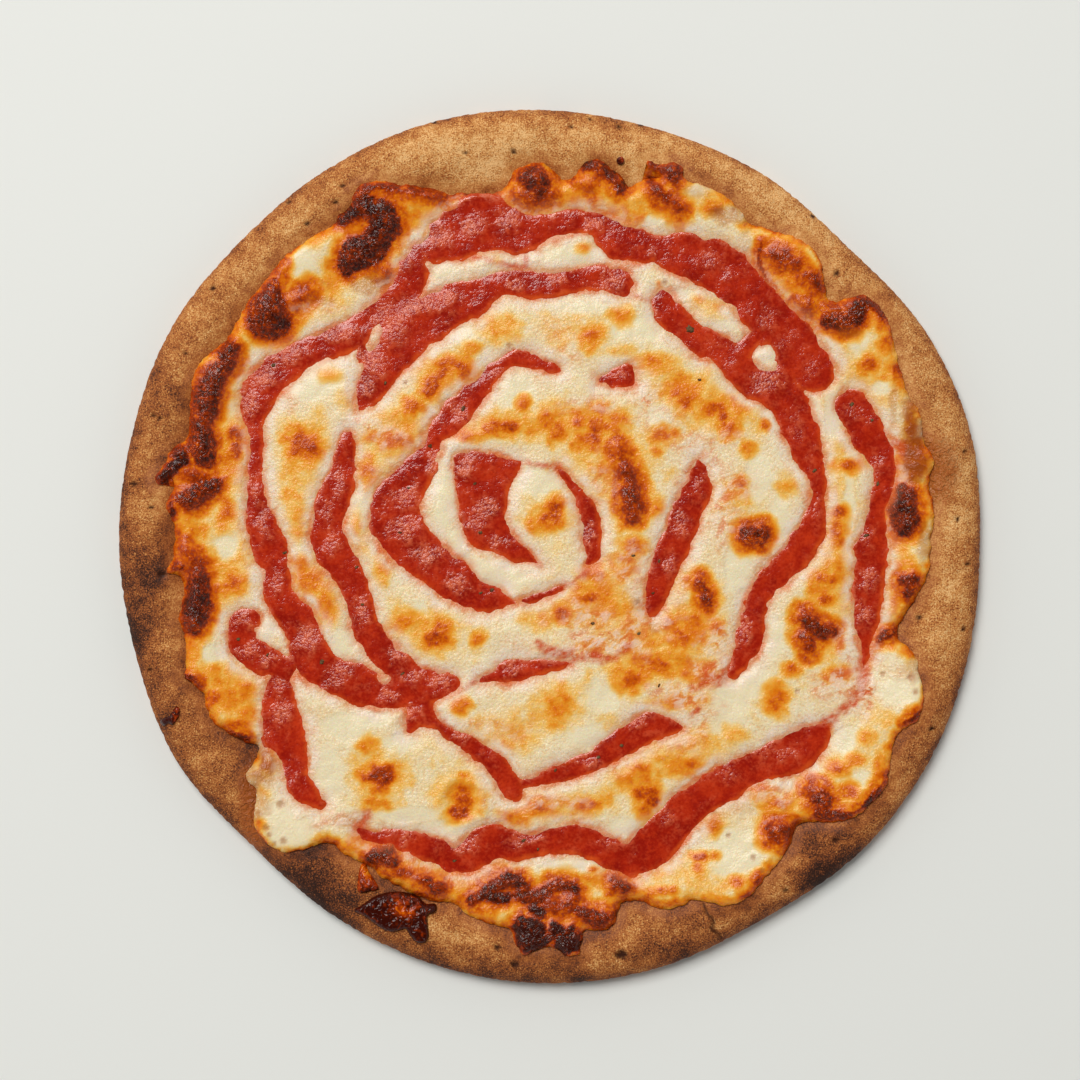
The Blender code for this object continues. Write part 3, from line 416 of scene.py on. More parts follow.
# Broad yellow to amber fields: (x, y, half width, half height, level)
TINTED = (
    (-112, 14, 5, 8, 0.52), (-122, 5, 7, 5, 0.42), (-112, 28, 5, 5, 0.44),
    (-105, 76, 4, 5, 0.42), (-87, 91, 5, 4, 0.44), (-76, 90, 5, 8, 0.42),
    (-63, 92, 8, 3, 0.20), (-50, 114, 8, 7, 0.46), (-44, 119, 9, 4, 0.42),
    (8, 121.5, 13, 4, 0.41), (30, 115, 9, 5, 0.42), (44, 113, 5, 5, 0.44), (-13, 122, 4, 5, 0.46),
    (-110, -53, 9, 8, 0.44), (-123, -35, 4, 7, 0.42), (-118, -42, 6, 4, 0.40),
    (-122, 25, 8, 5, 0.46), (-112, 50, 2, 9, 0.42), (-113, 57, 2, 6, 0.40),
    (84, 91, 8, 8, 0.48), (90, 83, 7, 6, 0.52), (100, 84, 6, 4, 0.52), (95, -14, 7, 7, 0.44),
    (100, 6, 4, 12, 0.48), (97, -34, 8, 4, 0.40), (120, -18, 4, 9, 0.44), (123, -6, 6, 4, 0.42),
    (125, 42, 4, 8, 0.50), (127, 31, 7, 9, 0.64), (118, 60, 5, 6, 0.40), (122, 0, 4, 5, 0.40),
    (93, 76, 5, 3, 0.50),
    (-70, -104, 9, 3, 0.48), (-51, -112.5, 9, 4, 0.70), (-22, -124, 10, 6, 0.54),
    (10, -115, 16, 3, 0.42), (28, -120, 7, 3, 0.46), (58, -122, 14, 2.5, 0.42),
    (80, -94, 9, 5, 0.46), (92, -90, 8, 6, 0.50), (108, -87, 6, 4, 0.42), (115, -76, 3, 7, 0.46),
    (48, -28, 11, 10, 0.47), (36, -40, 11, 6, 0.48), (49, -42, 9, 6, 0.46), (15, -17, 14, 6, 0.44),
    (0, -24, 12, 4, 0.38), (-41, -29, 11, 8, 0.36), (15, 40, 10, 9, 0.45), (27, 20, 7, 15, 0.45),
    (6, 44, 12, 6, 0.36), (46, 56, 11, 6, 0.44), (59, 48, 9, 6, 0.42), (-8, 42, 15, 4, 0.38),
    (0, 11, 8, 7, 0.42), (-36, 59, 9, 6, 0.42), (-50, 44, 10, 7, 0.36), (-62, 27, 4, 8, 0.40),
    (-55, 35, 8, 6, 0.38), (-85, 35, 8, 8, 0.40), (-88, 16, 4, 9, 0.30), (-77, -22, 5, 7, 0.42),
    (-85, -11, 6, 7, 0.42), (-58, -80, 8, 9, 0.38), (-31, -86, 7, 8, 0.38), (-12, -65, 11, 8, 0.31),
    (4, -55, 7, 8, 0.40), (30, -81, 10, 6, 0.44), (14, -89, 11, 3, 0.42), (-5, -92, 13, 3, 0.44),
    (46, -76, 10, 4, 0.46), (76, -88, 7, 4, 0.42), (57, -97, 6, 6, 0.32), (69, 34, 4, 4, 0.34),
    (83, 21, 6, 5, 0.20), (65, 20, 9, 6, 0.34), (39, 38, 8, 5, 0.38), (52, -67, 4, 5, 0.30),
    (3, 73, 7, 8, 0.22), (23, 68, 10, 3, 0.26), (38, 63, 9, 5, 0.36), (16, 74, 6, 5, 0.32),
    (25, -8, 9, 8, 0.38), (20, -22, 14, 5, 0.40), (43, -54, 12, 4, 0.46), (62, 50, 8, 5, 0.40),
    (-106, 0, 4, 6, 0.26), (-20, 77, 8, 5, 0.24), (46, 46, 4, 4, 0.3), (-70, 52, 6, 6, 0.24),
    (15, -34, 8, 4, 0.42), (22, -60, 8, 3, 0.2), (103, 38, 6, 9, 0.24), (98, -66, 7, 6, 0.22),
    (112, -58, 5, 6, 0.20), (104, -80, 8, 5, 0.24), (-5, 112, 2, 1, 0.2),
    (-26, 101, 3, 2, 0.34), (-18, 99, 3, 2, 0.30),
)
# Wide fields that are warmer than the rest: (x, y, half width, half height, level)
WARM = (
    (38, -32, 26, 20, 0.36), (15, -22, 24, 9, 0.34), (20, 30, 20, 24, 0.27),
    (58, 48, 16, 9, 0.32), (99, 0, 10, 36, 0.32), (42, -70, 28, 10, 0.30),
    (-20, -65, 16, 9, 0.23), (-50, 42, 16, 12, 0.28), (-38, 60, 14, 9, 0.30),
    (-86, 30, 11, 18, 0.26), (-43, -28, 17, 11, 0.26), (2, -56, 14, 12, 0.28),
    (0, 11, 11, 10, 0.26), (90, -87, 14, 7, 0.34), (56, -114, 26, 9, 0.26),
    (-60, -80, 13, 15, 0.24), (-32, -87, 14, 13, 0.26), (4, -90, 22, 7, 0.32),
    (112, 62, 12, 18, 0.28), (-8, 44, 24, 9, 0.28), (8, 76, 20, 8, 0.20),
    (-88, 86, 16, 14, 0.24), (-113, -5, 10, 22, 0.34), (-112, 40, 10, 24, 0.34),
    (-112, -50, 12, 12, 0.34), (20, 120, 34, 9, 0.34), (-48, 116, 20, 8, 0.36),
    (88, 88, 14, 14, 0.38), (122, 20, 8, 30, 0.34), (108, -72, 14, 14, 0.18),
    (-20, -118, 36, 8, 0.40), (-64, -104, 14, 5, 0.40), (66, 16, 12, 14, 0.18),
    (-62, 28, 8, 14, 0.26), (-68, 5, 5, 12, 0.22), (-80, -15, 12, 14, 0.26),
    (100, 45, 8, 20, 0.20), (55, 83, 14, 6, 0.22), (70, -48, 16, 12, 0.10),
)
# Places stained by sauce and oil: (x, y, half width, half height, strength)
STAINED = (
    (22, -33, 15, 6, 0.8), (36, -22, 6, 8, 0.7), (57, -43, 9, 5, 0.9), (48, -52, 12, 6, 0.7),
    (52, -60, 6, 7, 0.5), (60, 14, 7, 16, 0.6), (51, 36, 12, 6, 0.6), (38, 44, 9, 7, 0.35),
    (-64, 44, 8, 6, 0.6), (-56, 38, 8, 5, 0.5), (102, -47, 12, 7, 0.7), (103, -34, 5, 10, 0.6),
    (32, 53, 7, 5, 0.6), (-8, -35, 12, 4, 0.35), (6, -37, 14, 2.5, 0.9), (-30, -62, 9, 3, 0.4),
    (-70, -95, 9, 3, 0.7), (-83, -70, 3, 13, 0.4), (46, -68, 8, 5, 0.4), (4, 66, 8, 5, 0.4),
    (2, 76, 8, 7, 0.3), (119.5, 35, 3, 6, 0.7), (110, -48, 4, 10, 1.0), (-105, 5, 3, 14, 0.4),
    (-78, 83, 14, 2.5, 0.45), (13, -25, 12, 5, 0.6), (28, -8, 8, 10, 0.5), (65, 22, 8, 8, 0.5),
    (-18, -65, 10, 8, 0.35), (-5, -88, 16, 4, 0.5), (76, -85, 10, 4, 0.5), (15, 50, 12, 4, 0.4),
    (-60, 20, 4, 8, 0.3), (17, 22, 6, 8, 0.4), (98, 62, 4, 10, 0.35), (96, 24, 3, 10, 0.35),
    (-46, -112, 10, 3, 0.15), (60, -33, 7, 8, 0.6), (20, 0, 3, 14, 0.3), (96, 2, 3, 8, 0.35),
    (-90, -10, 3, 8, 0.2), (45, -15, 4, 8, 0.45), (30, -27, 8, 6, 0.6), (97, -62, 5, 3, 0.7),
    (-97, 88, 3, 9, 0.1), (64, -88, 10, 2, 0.4), (-91, 51, 5, 5, 0.45),
    (55, 29, 6, 6, 0.6),
)
# Thin tan cheese that the food below shows through: (x, y, half width, half height, strength)
SHEER = (
    (-98, -76, 4, 9, 0.9), (-101, -89, 4, 6, 0.7), (-103, -80, 4, 6, 0.9), (-70, -95, 8, 3, 0.9),
    (-62, 90, 9, 3.5, 0.9), (-79, 85, 6, 2, 0.5), (126, 38, 5, 9, 1.0), (127, 29, 6, 5, 1.0),
    (124, 47, 4, 6, 0.9), (119, 48, 2, 8, 0.7), (62, 115, 7, 3.5, 0.9), (50, 123, 5, 3, 0.5),
    (31, -19, 3, 4, 0.5), (36, -27, 2.4, 4, 0.5), (-8, 117, 6, 1.2, 0.35), (-104, 12, 2, 14, 0.4),
    (104, 74, 5, 2.4, 0.6), (68, 106, 2.4, 4, 0.4), (60, -91, 12, 3, 0.4), (95, 16, 2, 6, 0.5),
    (130, 3, 2.6, 6, 0.7), (10, 118, 14, 1.4, 0.2), (126, -43, 2.4, 5, 0.6),
)
# Smooth white pockets: (x, y, half width, half height)
WHITE = (
    (-85, 98, 5, 6), (-37, 96, 6, 3.4), (9, 101.5, 13, 3.6), (-36, 17, 5, 13), (-28, -7, 8, 4),
    (-16, -13, 10, 4), (-20, -8, 8, 4), (-83, 54, 7, 3.5), (-78, 60, 8, 6), (-72, -34, 6, 5),
    (-76, -78, 5, 13), (-70, -62, 10, 6), (-90, -99, 9, 6), (63, -54, 8, 9), (120, -50, 7, 5),
    (64, -107, 9, 9),
    (107, 71, 4, 5), (75, 66.5, 4, 3.4), (98, 46, 3, 9), (30, 76, 9, 5), (10, 84, 10, 3.4),
    (103, -67, 5, 5), (18, -52, 8, 5), (30, -97, 8, 4), (-38, -98, 10, 3), (8, -110.5, 11, 2.4),
    (36, 113.5, 3, 2.2), (50, 123, 4, 3), (-67, 109, 4, 2), (115, 55, 4, 3), (-112, 0, 5, 5),
    (-117, -37, 4, 4), (-98, -29, 4, 5), (78, -33, 4, 9), (70, -48, 8, 6), (-67, 14, 4, 5),
    (-45, -22, 4, 3), (-60, -60, 5, 3), (-12, 54, 7, 7), (-24, 30, 2, 1), (-5, 23, 8, 6),
    (12, 8, 1.5, 6), (37, 45, 4, 4), (73, 25, 5, 8), (80, 10, 4, 9), (65, -8, 5, 9),
    (106, -81, 5, 3), (98, 28, 2, 6), (104, 14, 2.4, 12), (75, 106, 4, 3), (91, 99, 3, 4),
    (-12, 88, 3, 1), (62, 77, 6, 2), (100, 72, 3, 3), (-30, 74, 7, 3), (46, 88, 5, 2),
    (-112, 46, 3, 4), (-20, 24, 1, 1), (-32, 3, 3, 5), (125, -50, 4, 6), (-93, -93, 6, 5),
    (-50, -93, 12, 3), (12, -66, 9, 4), (92, 46, 3, 5), (-52, -68, 6, 4), (33, -93, 3, 2),
)
# Small open bubbles: (x, y, radius)
BUBBLES = (
    (125, -45, 1.2), (126.5, -50, 0.9), (-98, -97, 1.1), (-97, -99.5, 0.8), (-92, -101.5, 1.1),
    (-93, -89, 1.3), (-100.5, -92, 0.8), (-95, -102.5, 0.7), (70.5, -107.5, 0.9),
    (73.5, -112, 0.8), (62, -100, 0.8), (30.5, -19, 0.9), (-14, 70, 0.8), (68, 112, 1.0),
    (64, 117, 0.9), (115.5, -44, 0.8), (40, 92, 0.8), (-50, 57, 0.7), (86, -50, 0.8),
)
# A sunken bubble in the cheese
CRATER_X, CRATER_Y, CRATER_RADIUS = -30.5, -88.5, 8.0
# Thin smears of sauce over the cheese: strokes of (x, y, half width)
SMEARS = (
    ((109, -40, 1.6), (108.5, -46, 1.8), (108, -50, 1.6), (104.5, -54, 1.8), (100, -58, 1.4),
     (96.5, -61, 2)),
    ((64.5, -42, 1.8), (60, -45.5, 2.2), (55, -46.5, 2.2), (50, -48.5, 1.2)),
    ((5, -40.5, 1), (11, -39, 0.7), (16, -38, 1.8), (20, -39, 1.2), (25, -36.5, 0.9),
     (28, -33.5, 0.7)),
    ((-4, -33, 1), (-1, -36, 1.6), (4, -37, 1.6), (8, -36.5, 1.2)),
    ((50, -58, 0.6), (52, -56, 0.8)),
    ((-37, -61, 0.9), (-34, -64, 1)),
    ((-27, 101, 0.4), (-9, 97, 0.5), (-8.8, 102, 0.5)),
    ((28, 88, 0.5), (32, 86.3, 0.3), (36, 85.5, 0.4)),
    ((-63, -92, 0.8), (-66, -97, 1.6)),
    ((120, 36, 1.6), (122.5, 34, 1.2)),
    ((-1.5, 64, 1.4), (0, 62.8, 1.6), (2.5, 61.5, 1)),
    ((4, -14, 0.5), (9, -11.5, 0.5), (13, -8.5, 0.6)),
    ((-10, 29, 0.4), (-4, 28.5, 0.5), (1, 28, 0.5), (4, 26.5, 0.5)),
    ((26, 61, 1), (27.5, 63, 0.8)),
    ((-63, -100, 1.2), (-60, -101, 1)),
    ((-26, -46.5, 0.8), (-29, -49, 0.4)),
)
# Where the sauce's skin is finely rippled and catches the light, and where its colour is painted
# towards a pink sheen:
# (x, y, half width, half height, strength or none)
RIPPLED = (
    (-55, 78, 6, 8), (-46, 84, 7, 3.6), (-37, 86, 6, 4), (-61, 64, 4.6, 6), (-63, 56, 2.6, 4),
    (-72, 74.5, 8, 2.6), (-90, 67, 7, 3.4), (-99, 59, 4, 4), (-104, 50, 3, 6), (-50, 100, 2.6, 4),
    (-38, 107, 5, 3.6), (-14, 113, 4, 4), (-26, 111, 4, 4), (22, 92, 4.6, 4.4), (3, 93, 3.6, 2.6),
    (-12, 91, 3, 2), (56, 100, 4.6, 3.4, 0.55), (62, 95, 3.4, 3, 0.4), (76, 80, 3.4, 5, 0.55),
    (84, 73, 2.6, 4, 0.35), (57, 71, 4, 2.4, 0.4), (75.5, 57.5, 5.6, 5.6), (63, 64, 3, 2, 0.4),
    (86, 42, 3, 6, 0.45), (105, 47, 4, 3.6, 0.5), (113, 28, 3, 5, 0.5), (111, -11, 3.4, 5),
    (109, -24, 3, 4), (110, 3, 3, 5, 0.6), (-73, 22, 2.4, 7, 0.7), (-77, 12, 2, 5, 0.7),
    (-76, 2, 3, 5, 0.8), (-65, -22, 3, 5), (-52, -37, 4, 3.6), (-47, -45, 4, 3.6),
    (-38, -47, 4, 3), (-56, -52, 3.6, 2.6), (-48, -58, 2.6, 2.6), (-73, -44, 5, 4),
    (-84, -32, 4.6, 5), (-95, -12, 2.4, 5, 0.8), (-99, 8, 2.4, 7, 0.8), (-102, 20, 1.8, 7, 0.7),
    (-50, 17, 6, 4), (-50, 6, 6, 4.6), (-42, -3, 5, 4), (-29, 27, 3, 4.4), (-22, 14, 4, 4),
    (-25, 8, 4, 3), (-18, 1, 3, 2.4), (-30, -66, 4.6, 1.8), (-12, -42.5, 4.6, 1.8),
    (30, -61, 4, 2.4), (14, -75, 4, 2), (80, -72, 8, 3, 0.7), (62, -80, 6, 2.4, 0.5),
    (42, -95, 5, 3, 0.6), (20, -103, 6, 2, 0.5), (-8, -102, 6, 2.6), (-30, -104, 6, 2.6),
    (-50, -102, 3, 1.6), (46, 8, 3, 5), (42, -6, 2.6, 4),
    (52, 22, 2.6, 3.4), (13.5, 4, 1.8, 5), (-93, -58, 4, 5), (-94, -49, 3, 3), (-105, -36, 4, 3),
    (-106, -26, 3, 2), (-98, -39, 4, 2), (68, -29, 2.4, 5), (-40, 29, 2.4, 5), (-31, 46, 3, 4),
    (-18, 60, 3, 2.4), (-32, -13, 4, 3), (80, 70, 3, 4, 0.35), (91, 62, 3, 4, 0.4), (-76, -48, 4, 2),
    (25, 59, 3, 2), (36, 103, 2.4, 2), (15, 112, 4, 2.4), (91, 30, 2, 6, 0.4), (93, 14, 1.6, 6, 0.5),
)

# ---------------------------------------------------------------- herbs, crumbs
CRUMB_STEP = 0.4
CRUMB_EDGE_THICK = 0.3
CRUMB_ROUNDING = 2.6
CRUMB_GAP = 0.35  # from the crust's plain surface, and a little less at its underside
CRUMB_UNDERSIDE_GAP = 0.3
SHARD_GLOW = (-50.5, -124.5, 3.8)  # the redder middle of a burnt piece: x, y, radius
SPLINTER_GLOW = (-64, -112, 3)
NO_GLOW = (-200, 0, 1)  # far from the food
CHIP_THICK = 0.35
# Outlines of the burnt pieces that lie on the rim
BURNT_SHARD = (
    (-68, -126), (-65.5, -124.3), (-63, -122.5), (-60, -120.7), (-56, -119.7), (-52, -119.5),
    (-48, -120.3), (-45.5, -121.2), (-43, -123.6), (-39.5, -123.8), (-39.3, -126.3),
    (-42, -127.5), (-42.2, -130), (-41.8, -134.5), (-43, -136.8), (-46, -137), (-48.3, -134.5),
    (-50, -132), (-53, -133.2), (-57, -132.8), (-61.5, -129.8), (-65, -127.3),
)
SMALL_SHARD = (
    (-65.5, -110.5), (-64, -109.8), (-62.5, -113), (-60, -116.5), (-59.3, -118.7),
    (-62, -119.2), (-65, -119.8), (-66.5, -118.5), (-66.3, -114),
)
CHAR_CRUMB = (
    (-129.3, -55.2), (-128.1, -56), (-128.3, -58.5), (-129.5, -60.5), (-130.8, -61.8),
    (-132, -61), (-134, -62.2), (-135.3, -60.5), (-133.5, -59.2), (-131.5, -58.4),
)
RIM_SPECK = (
    (23.2, 133.9), (24.0, 135.0), (25.4, 134.9), (25.9, 133.5), (24.9, 132.4), (23.5, 132.8),
)
# Dark herb flecks: (x, y, length, turn in degrees)
HERBS = (
    (49, 75.7, 3, -15), (-57, 57, 1.4, 70), (-30, 48, 1.7, 60), (-41.5, 35, 1.5, 20),
    (-49, 20.5, 1.2, 0), (-67, -7, 1.3, 40), (-65, -20, 1.2, 10), (-24, -16, 1.3, 20),
    (-79, -40, 1.8, 50), (-51, -44, 1.4, 30), (-33, -109, 1.5, 10), (-9, -102, 1.6, 30),
    (-4, -105, 1.2, 70), (25, -69, 1.3, 0), (17, -73, 1.3, 30), (2, -77.5, 1.2, 60),
    (36, -16, 1.2, 10), (38, -5, 1.3, 80), (92, 26.5, 1.5, 40), (110, 4, 1.8, 10),
    (114, 22, 1.4, 70), (112, 44, 1.2, 20), (105, 49.5, 1.7, 50), (-92, -2, 1.5, 20),
    (-96, 63, 1.4, 40), (-108, -32, 1.3, 10), (-98, -37.5, 1.4, 60), (52, 58, 1.2, 0),
    (31, -30, 1.2, 30), (38, -48, 1.2, 70), (15, -26.5, 1.2, 30), (29, -3, 1.2, 0),
    (-26, 22, 1.2, 40), (-24, 5, 1.4, 20), (-52, 5, 1.2, 0), (-20, -15, 1.4, 20),
)


# ================================================================ small maths
HEADINGS = 512  # random slopes that the ripples draw on
GRID_SHIFT_X, GRID_SHIFT_Y = 57.3, 91.7  # keeps their grids' corners off the food's middle
POINTS_AT_ONCE = 6000  # measured together, to save memory


def curve_point(a, b, c, d, share):
    """The point at that share of the way from b to c, on a smooth curve through all four."""
    turn = 2 * a - 5 * b + 4 * c - d
    bend = 3 * b - a - 3 * c + d
    return 0.5 * (2 * b + (c - a) * share + turn * share**2 + bend * share**3)


def smooth_loop(points, per_span=3):
    """More points on a closed smooth curve through those given."""
    points = np.array(points, float)
    count = len(points)
    return np.array([
        curve_point(*(points[(i + k) % count] for k in (-1, 0, 1, 2)), step / per_span)
        for i in range(count)
        for step in range(per_span)
    ])


def smooth_path(points, per_span=3):
    """More points on an open smooth curve through those given."""
    points = np.array(points, float)
    last = len(points) - 1
    found = [
        curve_point(*(points[min(max(i + k, 0), last)] for k in (-1, 0, 1, 2)), step / per_span)
        for i in range(last)
        for step in range(per_span)
    ]
    return np.array(found + [points[last]])


def eased(value, low, high):
    """0 up to low, 1 from high on, and smooth between."""
    share = np.clip((value - low) / (high - low), 0, 1)
    return share * share * (3 - 2 * share)


def waves(x, y, size, seed):
    """The same soft bumps that the crust's solid has, between about -1 and 1."""
    flat = [
        2 * noise.noise(Vector((px / size, py / size, seed)))
        for px, py in zip(np.ravel(x), np.ravel(y))
    ]
    return np.reshape(flat, np.shape(x))


def ripple(x, y, size, seed, layers=1):
    """Smooth random bumps of that size, between about -1 and 1, with finer layers on top.

    Each corner of a grid has a slope with a random heading, and the bumps blend the slopes.
    """
    total = np.zeros_like(x, dtype=float)
    weight = 1.0
    for layer in range(layers):
        draw = np.random.RandomState(seed + 31 * layer)
        order = draw.permutation(HEADINGS)
        heading = draw.uniform(0, 2 * math.pi, HEADINGS)
        u, v = x / size + GRID_SHIFT_X, y / size + GRID_SHIFT_Y
        i, j = np.floor(u).astype(int), np.floor(v).astype(int)
        fu, fv = u - i, v - j
        corner = {}
        for di in (0, 1):
            for dj in (0, 1):
                turn = heading[order[(order[(i + di) % HEADINGS] + j + dj) % HEADINGS]]
                corner[di, dj] = np.cos(turn) * (fu - di) + np.sin(turn) * (fv - dj)
        su = fu**3 * (fu * (fu * 6 - 15) + 10)
        sv = fv**3 * (fv * (fv * 6 - 15) + 10)
        low = corner[0, 0] + su * (corner[1, 0] - corner[0, 0])
        high = corner[0, 1] + su * (corner[1, 1] - corner[0, 1])
        total += weight * 1.5 * (low + sv * (high - low))
        weight *= 0.5
        size *= 0.5
    return total


def nearest_on(x, y, starts, along):
    """Distance to each short line, and how far along it the nearest place is."""
    px = x[:, None] - starts[:, 0]
    py = y[:, None] - starts[:, 1]
    length = np.maximum(along[:, 0] ** 2 + along[:, 1] ** 2, 1e-9)
    share = np.clip((px * along[:, 0] + py * along[:, 1]) / length, 0, 1)
    return np.hypot(px - share * along[:, 0], py - share * along[:, 1]), share


def in_parts(measure):
    """Makes measure(x, y) go over its points in parts."""

    def measured(x, y):
        starts = range(0, len(x), POINTS_AT_ONCE)
        parts = [slice(start, start + POINTS_AT_ONCE) for start in starts]
        return np.concatenate([measure(x[part], y[part]) for part in parts])

    return measured


def loop_distance(points):
    """A function for the distance to a closed outline, negative inside it."""
    starts = smooth_loop(points)
    along = np.roll(starts, -1, axis=0) - starts

    @in_parts
    def measure(x, y):
        gap, _ = nearest_on(x, y, starts, along)
        ends = starts + along
        crosses = (starts[:, 1] > y[:, None]) != (ends[:, 1] > y[:, None])
        rise = np.where(along[:, 1] == 0, 1e-9, along[:, 1])
        left = x[:, None] - starts[:, 0] < along[:, 0] * (y[:, None] - starts[:, 1]) / rise
        inside = (crosses & left).sum(1) % 2 == 1
        return np.where(inside, -gap.min(1), gap.min(1))

    return measure


def stroke_distance(stroke, far=30.0):
    """A function for the distance to a stroke's edge, negative inside, never over far."""
    path = smooth_path(stroke)
    starts, along = path[:-1], path[1:] - path[:-1]
    reach = far + path[:, 2].max()
    low, high = path[:, :2].min(0) - reach, path[:, :2].max(0) + reach

    @in_parts
    def near(x, y):
        gap, share = nearest_on(x, y, starts, along)
        return (gap - starts[:, 2] - share * along[:, 2]).min(1)

    def measure(x, y):
        found = np.full(len(x), far)
        close = (x > low[0]) & (x < high[0]) & (y > low[1]) & (y < high[1])
        if close.any():
            found[close] = np.minimum(near(x[close], y[close]), far)
        return found

    return measure


# ================================================================ shape of the food
cheese_edge_distance = loop_distance(CHEESE_EDGE)
heart_distance = loop_distance(HEART)
stroke_distances = {
    name: [stroke_distance(stroke) for stroke in strokes]
    for name, strokes in SAUCE_STROKES.items()
}


def ragged(x, y):
    """How far the sauce's border wanders in and out."""
    return 0.7 * ripple(x, y, 6.0, 11, 2) + 0.2 * ripple(x, y, 1.8, 12) - 0.35


def sauce_distance(name, x, y, with_islands=True):
    """Distance to the edge of one patch of sauce, negative inside it.

    The sauce's own mesh runs on under the islands of cheese, so it is cut without them.
    """
    if name == "sauce_heart":
        return heart_distance(x, y) + ragged(x, y)
    found = np.min([d(x, y) for d in stroke_distances[name]], axis=0)
    if name == "sauce_network" and with_islands:
        for spot_x, spot_y, half_long, half_wide, turn in ISLANDS:
            out = oval(x, y, spot_x, spot_y, half_long, half_wide, turn)
            found = np.maximum(found, (1 - out) * half_wide)
    return found + ragged(x, y)


def border_sides(name, x, y, distance):
    """How much a border faces the window at the upper left, and how much it faces away."""
    step = 0.4
    slope_x = (sauce_distance(name, x + step, y) - distance) / step
    slope_y = (sauce_distance(name, x, y + step) - distance) / step
    facing = 0.75 * slope_y - 0.65 * slope_x
    return eased(facing, 0.0, 0.7), eased(-facing, 0.0, 0.7)


def any_sauce_distance(x, y):
    """Distance to the edge of the nearest patch of sauce, negative inside it."""
    return np.min([sauce_distance(name, x, y) for name in SAUCE_PATCHES], axis=0)


def rim_radius(angle):
    """The crust's outer radius in that direction, in radians from +X."""
    place = np.degrees(angle) / RIM_STEP_DEG % len(RIM_RADII)
    span = np.floor(place).astype(int)
    radii = np.array(RIM_RADII)
    four = [radii[(span + k) % len(radii)] for k in (-1, 0, 1, 2)]
    return curve_point(*four, place - span)


def rim_inset(x, y):
    """How far a place lies in from the crust's outer edge, along the radius."""
    return rim_radius(np.arctan2(y, x)) - np.hypot(x, y)


def crust_top(x, y):
    """Height of the crust's upper surface, without its fine grain."""
    inset = rim_inset(x, y)
    insets, heights = zip(*RIM_PROFILE)
    on_rim = eased(inset, 0.5, 5.0) * (1 - eased(inset, 22.0, 32.0))
    return np.interp(inset, insets, heights) + RIM_BUMP * on_rim * waves(x, y, RIM_BUMP_SIZE, 3.3)


def cheese_thickness(x, y):
    """How thick the cheese is away from its edge, thinner where it has run up the rim."""
    climb = eased(crust_top(x, y), RIM_PROFILE[-1][1] + 1.0, RIM_PROFILE[-1][1] + 5.0)
    return CHEESE_THICK * (1 - (1 - THINNEST_ON_RIM) * climb)


def oval(x, y, spot_x, spot_y, half_long, half_wide, turn=0.0):
    """Distance from the middle of an oval, 1 on its outline."""
    c, s = math.cos(math.radians(turn)), math.sin(math.radians(turn))
    along = ((x - spot_x) * c + (y - spot_y) * s) / half_long
    across = ((y - spot_y) * c - (x - spot_x) * s) / half_wide
    return np.hypot(along, across)


def patches(x, y, table, wobble, low, high):
    """The strongest of some soft ovals, 1 in the middle: (x, y, half sizes, strength or none)."""
    found = np.zeros_like(x)
    for sx, sy, half_x, half_y, *strength in table:
        near = (np.abs(x - sx) < half_x * 3) & (np.abs(y - sy) < half_y * 3)
        shape = oval(x[near], y[near], sx, sy, half_x, half_y) * wobble[near]
        level = (strength[0] if strength else 1.0) * (1 - eased(shape, low, high))
        found[near] = np.maximum(found[near], level)
    return found


def browning(x, y):
    """How brown the cheese is, how far its blisters rise, and where its pockets are white.

    0 is cream, 1 is burnt black, and the rise is in millimetres.
    """
    wobble = 1 + 0.30 * ripple(x, y, 6.0, 21, 2)
    uneven = 1 + 0.45 * ripple(x, y, 9.0, 22, 2)
    brown = 0.06 + 0.07 * ripple(x, y, 22.0, 25, 2)
    brown = np.maximum(brown, patches(x, y, WARM, uneven, 0.3, 1.5))
    brown = np.maximum(brown, patches(x, y, TINTED, uneven, 0.2, 1.6))
    pocket = patches(x, y, WHITE, 1 + 0.35 * ripple(x, y, 7.0, 23, 2), 0.6, 1.25)
    brown *= 1 - 0.85 * pocket
    around = [(*spot[:4], min(0.43, 0.7 * spot[4])) for spot in TOASTED]
    halo = patches(x, y, around, wobble, 0.9, 2.6)
    core = 0.89 * patches(x, y, TOASTED, wobble, 0.5, 1.95)
    brown = np.maximum(brown, np.maximum(halo, core))
    rise = 0.18 * patches(x, y, [spot[:4] for spot in TOASTED], wobble, 0.2, 2.0)
    shift = 0.9 * ripple(x, y, 5.0, 24, 3)
    patchy = 0.06 * ripple(x, y, 6.5, 26, 2)
    for level, stroke in BURNT:
        half_width = max(place[2] for place in stroke)
        gap = stroke_distance(stroke, 9.0)(x, y) + shift * min(1.0, 0.4 * half_width)
        reach = min(1.9, 0.5 * half_width + 0.7)
        here = level + patchy - 0.06 * (1 - eased(-gap, 0.0, 3.0))
        brown = np.maximum(brown, here * (1 - eased(gap, -0.5, reach)))
        brown = np.maximum(brown, 0.57 * (1 - eased(gap, 0.8, 3.4 * reach)))
        height = min(0.4 * half_width, 1.9)
        rise = np.maximum(rise, height * (1 - eased(gap, -0.8 * half_width, 1.2)))
    return brown, rise, pocket


